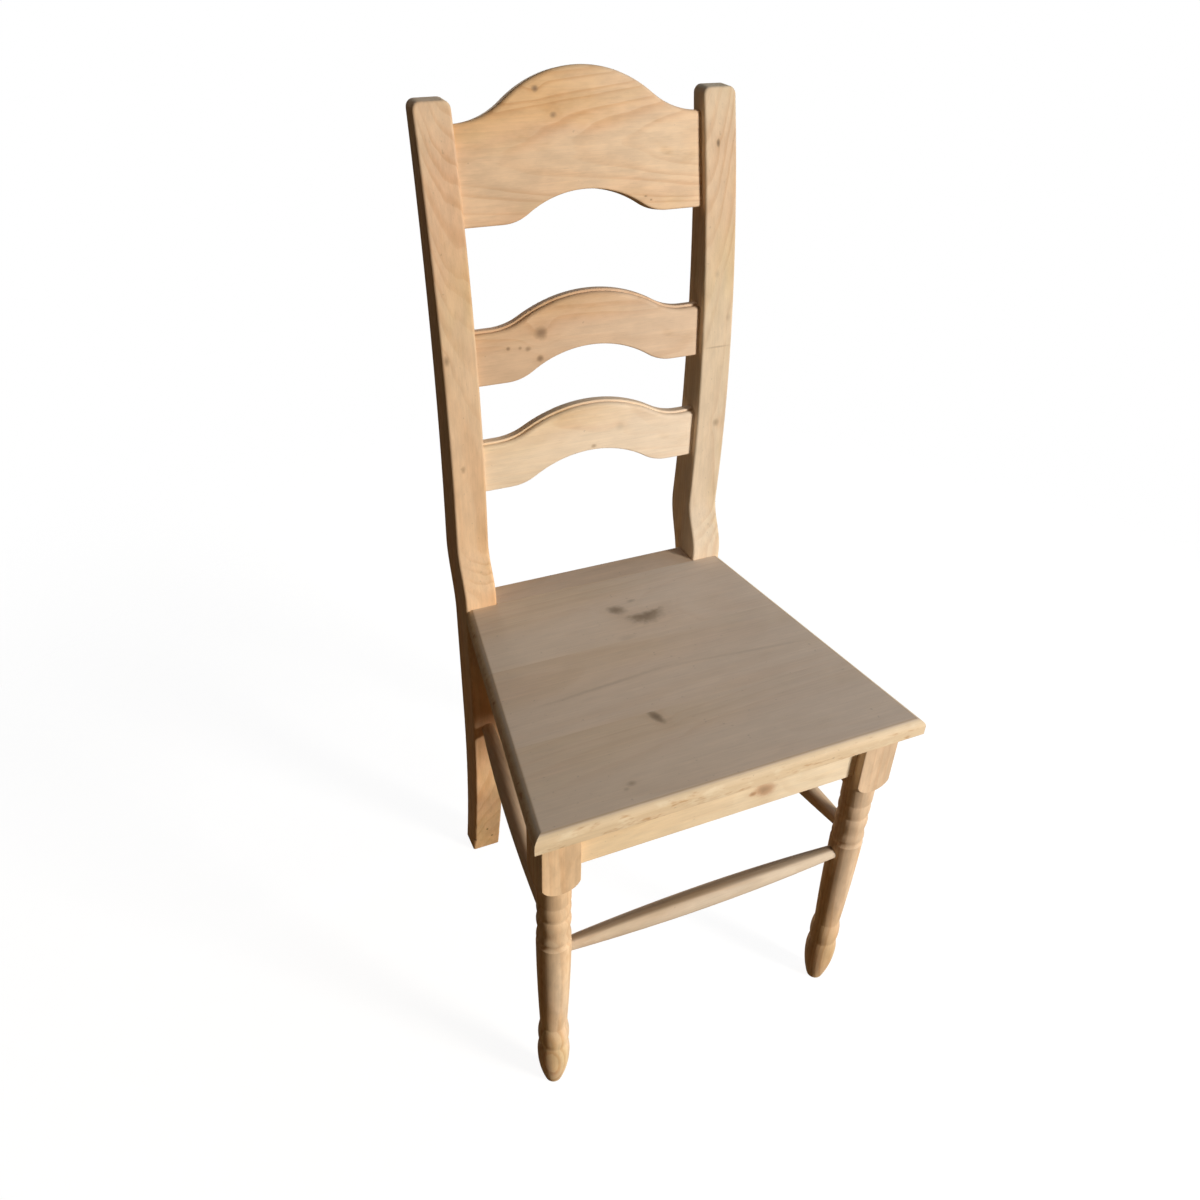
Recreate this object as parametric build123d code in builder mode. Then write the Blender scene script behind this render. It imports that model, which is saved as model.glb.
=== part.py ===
from build123d import *
from collections import namedtuple
from math import asin, atan2, cos, radians, sin, sqrt, tan
import os

# Ladder-back dining chair in bare pine, in millimetres, +Z up, front towards -Y.
# The origin is on the floor, in the middle of the chair's width and depth.
# Left and right are as seen from the front.

# Seat
SEAT_HEIGHT = 460
SEAT_THICKNESS = 20
SEAT_FRONT_WIDTH = 432
SEAT_DEPTH = 355
SEAT_EDGE_RADIUS = 9
SEAT_LIP_RADIUS = 1.5
BACK_STRIP_DEPTH = 36
BACK_STRIP_EDGE_RADIUS = 3
BACK_STRIP_GAP = 0.3

# Rear posts, sawn in one piece from floor to top
POST_OUTER_WIDTH = 334
POST_WIDTH = 38
POST_SPLAY = 0.4
POST_ABOVE_SEAT = 528
LEG_DEPTH = 46
FOOT_SWEEP = 46
FOOT_DEPTH = 34
FRONT_SWEEP_DROP = 130
REAR_SWEEP_DROP = 180
FRONT_KINK_START = 5
FRONT_KINK_END = 75
REAR_KINK_START = -30
REAR_KINK_END = 65
LUMBAR_ABOVE_SEAT = 137
LUMBAR_SET_BACK = 20
HOLLOW_ABOVE_SEAT = 190
HOLLOW_DEPTH = 43
TOP_SET_BACK = 71.5
TOP_DEPTH = 24
POST_ARRIS_RADIUS = 3
POST_TOP_RADIUS = 8
SOLE_TRIM = 2
SOLE_CHAMFER = 1.5

# Crest rail and slats, set into the posts
RAIL_THICKNESS = 17
RAIL_SET_BACK = 8
RAIL_MOULD_DEPTH = 6
RAIL_MOULD_RADIUS = 4.5
RAIL_BACK_RADIUS = 3
RAIL_LOWER_RADIUS = 2
TENON_THICKNESS = 8
TENON_LENGTH = 18
TENON_SHOULDER = 8
CREST_ABOVE_SEAT = 415
CREST_HEIGHT = 93.5
CREST_RISE = 46
CREST_RUN = 132
CREST_ARCH_RISE = 27
CREST_ARCH_RUN = 90
UPPER_SLAT_ABOVE_SEAT = 258.5
LOWER_SLAT_ABOVE_SEAT = 135.5
SLAT_HEIGHT = 54.5
SLAT_RISE = 29.5
SLAT_RUN = 111
SLAT_ARCH_RISE = 28.5
SLAT_ARCH_RUN = 97
SLAT_STEP = 2.5
SLAT_STEP_RADIUS = 1
CREST_CROWN_SHARE = 0.6
CROWN_SHARE = 0.7

# Turned front legs
LEG_FRONT_OVERHANG = 18
LEG_SIDE_OVERHANG = 13
BLOCK_SIZE = 41.5
BLOCK_LENGTH = 78
BLOCK_ARRIS_RADIUS = 1.5
SHOULDER_RISE = 7
SHOULDER_DROP = 12
NECK_DIAMETER = 36
UPPER_GROOVE_DROP = 39
LOWER_GROOVE_DROP = 60
SWELL_DROP = 69
SWELL_DIAMETER = 36.6
WAIST_DROP = 84
WAIST_DIAMETER = 33.8
RIDGE_DROP = 95
RIDGE_DIAMETER = 37
TAPER_DROP = 105
TAPER_TOP_DIAMETER = 37.6
TAPER_SWELL = 0.7
ANKLE_HEIGHT = 111
ANKLE_DIAMETER = 30.4
COLLAR_HEIGHT = 91
COLLAR_DIAMETER = 35.4
FOOT_GROOVE_HEIGHT = 76
BULB_HEIGHT = 58
BULB_DIAMETER = 37
FOOT_DIAMETER = 19
FOOT_EDGE_RADIUS = 2
GROOVE_DEPTH = 1.5
GROOVE_WIDTH = 2

# Aprons under the seat, doweled to the legs and posts
APRON_HEIGHT = 68
APRON_THICKNESS = 20
APRON_RECESS = 12
APRON_ARRIS_RADIUS = 1.5
DOWEL_DIAMETER = 8
DOWEL_LENGTH = 36
DOWEL_END_ROOM = 1
DOWEL_WIDE_SPACING = 44
DOWEL_CLOSE_SPACING = 18

# Turned stretchers
STRETCHER_DIAMETER = 25
STRETCHER_END_DIAMETER = 15.5
STRETCHER_SOCKET = 16
FRONT_STRETCHER_HEIGHT = 240
SIDE_STRETCHER_HEIGHT = 270
BACK_STRETCHER_HEIGHT = 240

# Corner blocks and screws
BLOCK_WING = 70
CORNER_BLOCK_HEIGHT = 30
CORNER_NOTCH_GAP = 1
BLOCK_SCREW_SHARE = 0.7
SEAT_SCREW_SHARE = 0.34
SCREW_DIAMETER = 4
SCREW_HEAD_DIAMETER = 8
SCREW_HEAD_HEIGHT = 3
SCREW_SLOT_WIDTH = 1.2
SCREW_SLOT_DEPTH = 1.4
SCREW_BITE = 14
SCREW_BEARING = 10
SEAT_SCREW_BEARING = 20

# Room between a peg or tenon and its hole
FIT_CLEARANCE = 0.2

# Heights and places that follow from the sizes above
SEAT_UNDERSIDE = SEAT_HEIGHT - SEAT_THICKNESS
POST_TOP = SEAT_HEIGHT + POST_ABOVE_SEAT
LUMBAR_HEIGHT = SEAT_HEIGHT + LUMBAR_ABOVE_SEAT
HOLLOW_HEIGHT = SEAT_HEIGHT + HOLLOW_ABOVE_SEAT
HOLLOW_SET_BACK = LUMBAR_SET_BACK + HOLLOW_DEPTH
BLOCK_BOTTOM = SEAT_UNDERSIDE - BLOCK_LENGTH
APRON_MIDDLE = SEAT_UNDERSIDE - APRON_HEIGHT / 2
HOLE_RADIUS = DOWEL_DIAMETER / 2 + FIT_CLEARANCE
SIDES = {"left": -1, "right": 1}

# A face or an edge within this much of a direction counts as lying that way
FACING = cos(radians(60))

os.makedirs("parts", exist_ok=True)


def save(piece, label):
    """Name a finished piece and write it."""
    piece.part.label = label
    export_step(piece.part, f"parts/{label}.step")


def arc_radius(rise, run):
    """Radius of an arc that rises by this much over a run from its flat point."""
    return (rise**2 + run**2) / (2 * rise)


def arc_rise(radius, run):
    """Rise of that arc at a distance from its flat point."""
    return radius - sqrt(radius**2 - run**2)


# Side view of a post, measured back from the straight front face of its leg
FRONT_RADIUS = arc_radius(TOP_SET_BACK - LUMBAR_SET_BACK, POST_TOP - LUMBAR_HEIGHT)
REAR_RADIUS = arc_radius(TOP_SET_BACK + TOP_DEPTH - HOLLOW_SET_BACK, POST_TOP - HOLLOW_HEIGHT)
SWEEP_TOP = SEAT_HEIGHT - FRONT_SWEEP_DROP
SWEEP_RADIUS = arc_radius(FOOT_SWEEP, SWEEP_TOP)


def post_front(z):
    """Front edge of the post above the seat."""
    return LUMBAR_SET_BACK + arc_rise(FRONT_RADIUS, z - LUMBAR_HEIGHT)


def post_rear(z):
    """Rear edge of the post above the seat."""
    return HOLLOW_SET_BACK + arc_rise(REAR_RADIUS, z - HOLLOW_HEIGHT)


def leg_front(z):
    """Front edge of the post's leg below the seat."""
    return arc_rise(SWEEP_RADIUS, max(SWEEP_TOP - z, 0))


def post_lean(z):
    """Backward lean of the post's front edge, in radians."""
    return asin((z - LUMBAR_HEIGHT) / FRONT_RADIUS)


# The crown of the crest leans furthest back, and so sets the depth of the chair
CREST_MIDDLE = SEAT_HEIGHT + CREST_ABOVE_SEAT + CREST_HEIGHT / 2
CREST_LEAN = post_lean(CREST_MIDDLE)
CROWN_REACH = (CREST_HEIGHT / 2 + CREST_RISE - RAIL_BACK_RADIUS) * sin(CREST_LEAN)
CROWN_BACK = (RAIL_THICKNESS - RAIL_BACK_RADIUS) * cos(CREST_LEAN) + RAIL_BACK_RADIUS
CREST_SET_BACK = post_front(CREST_MIDDLE) + RAIL_SET_BACK + CROWN_REACH + CROWN_BACK
OVERALL_DEPTH = SEAT_DEPTH + max(CREST_SET_BACK, TOP_SET_BACK + TOP_DEPTH)
Y_SEAT_FRONT = -OVERALL_DEPTH / 2
Y_POST = Y_SEAT_FRONT + SEAT_DEPTH
Y_LEG = Y_SEAT_FRONT + LEG_FRONT_OVERHANG + BLOCK_SIZE / 2
X_LEG = SEAT_FRONT_WIDTH / 2 - LEG_SIDE_OVERHANG - BLOCK_SIZE / 2


def post_outer_plane(side):
    """Outer face of a post: x runs back, y runs up the post."""
    lean = radians(POST_SPLAY)
    foot_x = POST_OUTER_WIDTH / 2 - SEAT_HEIGHT * tan(lean)
    outwards = (cos(lean), 0, -side * sin(lean))
    return Plane(origin=(side * foot_x, Y_POST, 0), x_dir=(0, 1, 0), z_dir=outwards)


def post_inner_plane(side):
    return post_outer_plane(side).offset(-side * POST_WIDTH)


def post_inner_x(z):
    """Half the room between the posts at a height."""
    lean = radians(POST_SPLAY)
    return POST_OUTER_WIDTH / 2 + (z - SEAT_HEIGHT) * tan(lean) - POST_WIDTH / cos(lean)


# Crest rail and slats share one pattern: flat ends, a raised crown and an arched lower edge
Rail = namedtuple("Rail", "name above_seat height rise run crown_share arch_rise arch_run step")
RAILS = [
    Rail("crest_rail", CREST_ABOVE_SEAT, CREST_HEIGHT, CREST_RISE, CREST_RUN, CREST_CROWN_SHARE,
         CREST_ARCH_RISE, CREST_ARCH_RUN, 0),
    Rail("upper_slat", UPPER_SLAT_ABOVE_SEAT, SLAT_HEIGHT, SLAT_RISE, SLAT_RUN, CROWN_SHARE,
         SLAT_ARCH_RISE, SLAT_ARCH_RUN, SLAT_STEP),
    Rail("lower_slat", LOWER_SLAT_ABOVE_SEAT, SLAT_HEIGHT, SLAT_RISE, SLAT_RUN, CROWN_SHARE,
         SLAT_ARCH_RISE, SLAT_ARCH_RUN, SLAT_STEP),
]


def rail_middle(rail):
    """Height of the middle of a rail's ends."""
    return SEAT_HEIGHT + rail.above_seat + rail.height / 2


def rail_plane(rail):
    """Front face of a rail, leaning with the posts: x runs right, y runs up the rail."""
    middle = rail_middle(rail)
    lean = post_lean(middle)
    face_y = Y_POST + post_front(middle) + RAIL_SET_BACK
    return Plane(origin=(0, face_y, middle), x_dir=(1, 0, 0), z_dir=(0, -cos(lean), sin(lean)))


def tenon_plane(rail):
    """Middle of the rail's thickness."""
    return rail_plane(rail).offset(-RAIL_THICKNESS / 2)


def tenon_box(rail, room, mode):
    """The two tenons of a rail, or with some room the mortises that take them."""
    length = 2 * (TENON_LENGTH + room)
    height = rail.height - 2 * TENON_SHOULDER + 2 * room
    for side in SIDES.values():
        with Locations(tenon_plane(rail) * Pos(side * post_inner_x(rail_middle(rail)), 0, 0)):
            Box(length, height, TENON_THICKNESS + 2 * room, mode=mode)


# Dowel joints of the aprons: each plane lies on the joint's face, on the dowel's axis
def dowel_pair(x, y, direction, spacing):
    heights = (APRON_MIDDLE - spacing / 2, APRON_MIDDLE + spacing / 2)
    return [Plane(origin=(x, y, z), z_dir=direction) for z in heights]


FRONT_APRON_FACE = Y_LEG - BLOCK_SIZE / 2 + APRON_RECESS
BACK_APRON_FACE = Y_POST + APRON_RECESS
Y_BLOCK_REAR = Y_LEG + BLOCK_SIZE / 2
X_BLOCK_INNER = X_LEG - BLOCK_SIZE / 2
SIDE_APRON_FRONT_X = X_LEG + BLOCK_SIZE / 2 - APRON_RECESS
SIDE_APRON_REAR_X = POST_OUTER_WIDTH / 2 - APRON_RECESS
SIDE_APRON_ANGLE = atan2(SIDE_APRON_FRONT_X - SIDE_APRON_REAR_X, Y_POST - Y_BLOCK_REAR)
SIDE_APRON_ACROSS = APRON_THICKNESS / cos(SIDE_APRON_ANGLE)


def side_apron_inner_x(y):
    """Distance from the middle of the chair to a side apron's inner face."""
    return SIDE_APRON_REAR_X + (Y_POST - y) * tan(SIDE_APRON_ANGLE) - SIDE_APRON_ACROSS


FRONT_DOWELS = []
BACK_DOWELS = []
SIDE_DOWELS = []
for side in SIDES.values():
    outwards = (side, 0, 0)
    front_y = FRONT_APRON_FACE + APRON_THICKNESS / 2
    FRONT_DOWELS += dowel_pair(side * X_BLOCK_INNER, front_y, outwards, DOWEL_WIDE_SPACING)
    back_x = side * post_inner_x(APRON_MIDDLE)
    BACK_DOWELS += dowel_pair(back_x, BACK_APRON_FACE + APRON_THICKNESS / 2, outwards, DOWEL_WIDE_SPACING)
    for face_y, direction in ((Y_BLOCK_REAR, (0, -1, 0)), (Y_POST, (0, 1, 0))):
        middle_x = side_apron_inner_x(face_y) + SIDE_APRON_ACROSS / 2
        SIDE_DOWELS += dowel_pair(side * middle_x, face_y, direction, DOWEL_CLOSE_SPACING)
ALL_DOWELS = FRONT_DOWELS + BACK_DOWELS + SIDE_DOWELS
HOLE_LENGTH = DOWEL_LENGTH + 2 * DOWEL_END_ROOM

# Stretchers run between two points on their axis, where their round ends stop
STRETCHER_RADIUS = STRETCHER_END_DIAMETER / 2
Y_SIDE_SOCKET = Y_POST + leg_front(SIDE_STRETCHER_HEIGHT)
X_REAR_SOCKET = post_inner_x(SIDE_STRETCHER_HEIGHT) + POST_WIDTH / 2
Y_BACK_STRETCHER = Y_POST + leg_front(BACK_STRETCHER_HEIGHT) + LEG_DEPTH / 2


def leg_reach():
    """Distance from a front leg's axis to the end of a stretcher's socket."""
    return TAPER_TOP_DIAMETER / 2 - STRETCHER_SOCKET


def front_stretcher_ends():
    reach = X_LEG - leg_reach()
    return [(side * reach, Y_LEG, FRONT_STRETCHER_HEIGHT) for side in SIDES.values()]


def back_stretcher_ends():
    reach = post_inner_x(BACK_STRETCHER_HEIGHT) + STRETCHER_SOCKET
    return [(side * reach, Y_BACK_STRETCHER, BACK_STRETCHER_HEIGHT) for side in SIDES.values()]


def side_stretcher_ends(side):
    start = Vector(side * X_LEG, Y_LEG, SIDE_STRETCHER_HEIGHT)
    end = Vector(side * X_REAR_SOCKET, Y_SIDE_SOCKET, SIDE_STRETCHER_HEIGHT)
    along = (end - start).normalized()
    return [start + along * leg_reach(), end + along * STRETCHER_SOCKET]


STRETCHERS = {
    "front_stretcher": front_stretcher_ends(),
    "back_stretcher": back_stretcher_ends(),
    "left_stretcher": side_stretcher_ends(SIDES["left"]),
    "right_stretcher": side_stretcher_ends(SIDES["right"]),
}


def stretcher_plane(name):
    """Plane through a stretcher's axis, at its middle: x runs along it, y runs up."""
    start, end = (Vector(point) for point in STRETCHERS[name])
    along = (end - start).normalized()
    return Plane(origin=(start + end) / 2, x_dir=along, z_dir=along.cross(Vector(0, 0, 1)))


def stretcher_length(name):
    start, end = (Vector(point) for point in STRETCHERS[name])
    return (end - start).length


def cut_sockets(names):
    """Bore the sockets of these stretchers out of the piece being built."""
    for name in names:
        middle = stretcher_plane(name)
        length = stretcher_length(name) + 2 * FIT_CLEARANCE
        with Locations(Plane(origin=middle.origin, z_dir=middle.x_dir)):
            Cylinder(STRETCHER_RADIUS + FIT_CLEARANCE, length, mode=Mode.SUBTRACT)


# Corner blocks: a triangle in the inner corner of two aprons, notched round the leg or post
Corner = namedtuple("Corner", "name side y inwards")
CORNERS = []
for place, side in SIDES.items():
    CORNERS.append(Corner(f"front_{place}_corner_block", side, FRONT_APRON_FACE + APRON_THICKNESS, 1))
    CORNERS.append(Corner(f"rear_{place}_corner_block", side, BACK_APRON_FACE, -1))
CORNER_BLOCK_MIDDLE = SEAT_UNDERSIDE - CORNER_BLOCK_HEIGHT / 2


def cross_screw_plane(corner):
    """Bearing face of the screw from a corner block into the front or back apron."""
    x = corner.side * (side_apron_inner_x(corner.y) - BLOCK_SCREW_SHARE * BLOCK_WING)
    y = corner.y + corner.inwards * SCREW_BEARING
    return Plane(origin=(x, y, CORNER_BLOCK_MIDDLE), z_dir=(0, -corner.inwards, 0))


def side_screw_plane(corner):
    """Bearing face of the screw from a corner block into the side apron."""
    y = corner.y + corner.inwards * BLOCK_SCREW_SHARE * BLOCK_WING
    x = corner.side * (side_apron_inner_x(y) - SCREW_BEARING)
    return Plane(origin=(x, y, CORNER_BLOCK_MIDDLE), z_dir=(corner.side, 0, 0))


def seat_screw_plane(corner):
    """Bearing face of the screw from a corner block up into the seat."""
    y = corner.y + corner.inwards * SEAT_SCREW_SHARE * BLOCK_WING
    x = corner.side * (side_apron_inner_x(corner.y) - SEAT_SCREW_SHARE * BLOCK_WING)
    return Plane(origin=(x, y, SEAT_UNDERSIDE - SEAT_SCREW_BEARING))


BLOCK_SCREWS = [plane(corner) for corner in CORNERS for plane in (cross_screw_plane, side_screw_plane)]
SEAT_SCREWS = [seat_screw_plane(corner) for corner in CORNERS]
BLOCK_SCREW_LENGTH = SCREW_BEARING + SCREW_BITE
SEAT_SCREW_LENGTH = SEAT_SCREW_BEARING + SCREW_BITE
FROM_START = (Align.CENTER, Align.CENTER, Align.MIN)
TO_START = (Align.CENTER, Align.CENTER, Align.MAX)


def cut_screw_holes(planes, length):
    """Bore the pilot holes of these screws out of the piece being built."""
    radius = SCREW_DIAMETER / 2 + FIT_CLEARANCE
    with Locations(*planes):
        Cylinder(radius, length + FIT_CLEARANCE, align=FROM_START, mode=Mode.SUBTRACT)


def cut_counterbores(planes):
    """Cut the wells that take the screw heads, out to the block's surface."""
    radius = SCREW_HEAD_DIAMETER / 2 + FIT_CLEARANCE
    with Locations(*planes):
        Cylinder(radius, BLOCK_WING, align=TO_START, mode=Mode.SUBTRACT)


# Rear posts
def rear_post(side):
    front_start = (0, SEAT_HEIGHT + FRONT_KINK_START)
    front_end_z = SEAT_HEIGHT + FRONT_KINK_END
    front_end = (post_front(front_end_z), front_end_z)
    rear_start = (LEG_DEPTH, SEAT_HEIGHT + REAR_KINK_START)
    rear_end_z = SEAT_HEIGHT + REAR_KINK_END
    rear_end = (post_rear(rear_end_z), rear_end_z)
    rear_sweep_top = (LEG_DEPTH, SEAT_HEIGHT - REAR_SWEEP_DROP)
    toe = (FOOT_SWEEP, -SOLE_TRIM)
    heel = (FOOT_SWEEP + FOOT_DEPTH, -SOLE_TRIM)
    front_slope = (front_end_z - LUMBAR_HEIGHT) / FRONT_RADIUS
    rear_slope = (rear_end_z - HOLLOW_HEIGHT) / REAR_RADIUS
    front_middle_z = (front_end_z + POST_TOP) / 2
    rear_middle_z = (rear_end_z + POST_TOP) / 2
    front_top = (TOP_SET_BACK, POST_TOP)
    rear_top = (TOP_SET_BACK + TOP_DEPTH, POST_TOP)
    with BuildPart() as post:
        with BuildSketch(post_outer_plane(side)):
            with BuildLine():
                TangentArc((0, SWEEP_TOP), toe, tangent=(0, -1))
                Line((0, SWEEP_TOP), front_start)
                Spline(front_start, front_end, tangents=((0, 1), (front_slope, 1)))
                ThreePointArc(front_end, (post_front(front_middle_z), front_middle_z), front_top)
                Line(front_top, rear_top)
                ThreePointArc(rear_top, (post_rear(rear_middle_z), rear_middle_z), rear_end)
                Spline(rear_end, rear_start, tangents=((-rear_slope, -1), (0, -1)))
                Line(rear_start, rear_sweep_top)
                TangentArc(rear_sweep_top, heel, tangent=(0, -1))
                Line(heel, toe)
            make_face()
        extrude(amount=-side * POST_WIDTH)
        split(bisect_by=Plane.XY, keep=Keep.TOP)
        top = post.faces().sort_by(Axis.Z)[-1]
        fillet(top.edges().sort_by(Axis.X)[0:1] + top.edges().sort_by(Axis.X)[-1:], POST_TOP_RADIUS)
        flanks = post.faces().filter_by(lambda face: abs(face.normal_at().X) > cos(radians(2 * POST_SPLAY)))
        long_edges = flanks.edges().filter_by(lambda edge: edge.bounding_box().size.Z > SOLE_TRIM)
        crown_bottom = POST_TOP - 2 * POST_TOP_RADIUS
        crown = post.edges().filter_by(lambda edge: edge.bounding_box().min.Z > crown_bottom)
        crown_edges = crown.filter_by(lambda edge: edge.bounding_box().size.Y < TOP_DEPTH / 2)
        fillet(long_edges + crown_edges, POST_ARRIS_RADIUS)
        chamfer(post.faces().sort_by(Axis.Z)[0].edges(), SOLE_CHAMFER)
        for rail in RAILS:
            tenon_box(rail, FIT_CLEARANCE, Mode.SUBTRACT)
        with Locations(*BACK_DOWELS, *SIDE_DOWELS):
            Cylinder(HOLE_RADIUS, HOLE_LENGTH, mode=Mode.SUBTRACT)
        cut_sockets(STRETCHERS)
    return post


for place, side in SIDES.items():
    save(rear_post(side), f"{place}_rear_post")


# Crest rail and slats: the upper front edge is rounded over, on the slats up to a small step
def depth_behind(front, shape):
    """How far the middle of a face or an edge lies behind a rail's front face."""
    return -front.to_local_coords(shape.center()).Z


def edges_along(faces):
    """The edges of these faces that run along the rail."""
    return faces.edges().filter_by(lambda edge: abs(edge.tangent_at(0.5).X) > FACING)


def upper_edges(board, front, depth):
    """The edges along the top of a rail, of its faces further back than this depth."""
    upper = board.faces().filter_by(lambda face: face.normal_at().Z > FACING)
    return edges_along(upper.filter_by(lambda face: depth_behind(front, face) > depth))


def add_step(rail, end_x):
    """Raise the back of a rail above its rounded front edge, in the same outline."""
    top = rail.height / 2 + rail.step
    foot = rail.height / 4
    crown_x = rail.crown_share * rail.run
    crown_rise = rail.rise * (1 - rail.crown_share)
    with BuildSketch(rail_plane(rail).offset(-RAIL_MOULD_DEPTH)) as raised:
        with BuildLine():
            Line((0, foot), (end_x, foot))
            Line((end_x, foot), (end_x, top))
            Line((end_x, top), (rail.run, top))
            TangentArc((rail.run, top), (crown_x, top + crown_rise), tangent=(-1, 0))
            TangentArc((0, top + rail.rise), (crown_x, top + crown_rise), tangent=(1, 0))
            Line((0, top + rail.rise), (0, foot))
        make_face()
        mirror(about=Plane.YZ)
    extrude(raised.sketch, amount=RAIL_MOULD_DEPTH - RAIL_THICKNESS)


def crowned_rail(rail):
    front = rail_plane(rail)
    end_x = post_inner_x(rail_middle(rail)) + TENON_LENGTH
    top = rail.height / 2
    bottom = -top
    crown_x = rail.crown_share * rail.run
    crown_rise = rail.rise * (1 - rail.crown_share)
    arch_x = CROWN_SHARE * rail.arch_run
    arch_y = bottom + rail.arch_rise * (1 - CROWN_SHARE)
    back_half = (RAIL_MOULD_DEPTH + RAIL_THICKNESS) / 2
    with BuildPart() as board:
        with BuildSketch(front):
            with BuildLine():
                Line((end_x, bottom), (end_x, top))
                Line((end_x, top), (rail.run, top))
                TangentArc((rail.run, top), (crown_x, top + crown_rise), tangent=(-1, 0))
                TangentArc((0, top + rail.rise), (crown_x, top + crown_rise), tangent=(1, 0))
                Line((0, top + rail.rise), (0, bottom + rail.arch_rise))
                TangentArc((0, bottom + rail.arch_rise), (arch_x, arch_y), tangent=(1, 0))
                TangentArc((rail.arch_run, bottom), (arch_x, arch_y), tangent=(-1, 0))
                Line((rail.arch_run, bottom), (end_x, bottom))
            make_face()
            mirror(about=Plane.YZ)
        extrude(amount=-RAIL_THICKNESS)
        lower_faces = board.faces().filter_by(lambda face: face.normal_at().Z < -FACING)
        fillet(edges_along(lower_faces), RAIL_LOWER_RADIUS)
        front_edges = [e for e in upper_edges(board, front, 0) if depth_behind(front, e) < RAIL_MOULD_DEPTH]
        fillet(front_edges, RAIL_MOULD_RADIUS)
        if rail.step:
            add_step(rail, end_x)
        back_edges = upper_edges(board, front, RAIL_MOULD_DEPTH)
        fillet([e for e in back_edges if depth_behind(front, e) > back_half], RAIL_BACK_RADIUS)
        if rail.step:
            step_edges = upper_edges(board, front, RAIL_MOULD_DEPTH)
            fillet([e for e in step_edges if depth_behind(front, e) < back_half], SLAT_STEP_RADIUS)
        split(bisect_by=post_inner_plane(SIDES["left"]), keep=Keep.TOP)
        split(bisect_by=post_inner_plane(SIDES["right"]), keep=Keep.BOTTOM)
        tenon_box(rail, 0, Mode.ADD)
    return board


for rail in RAILS:
    save(crowned_rail(rail), rail.name)


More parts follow.
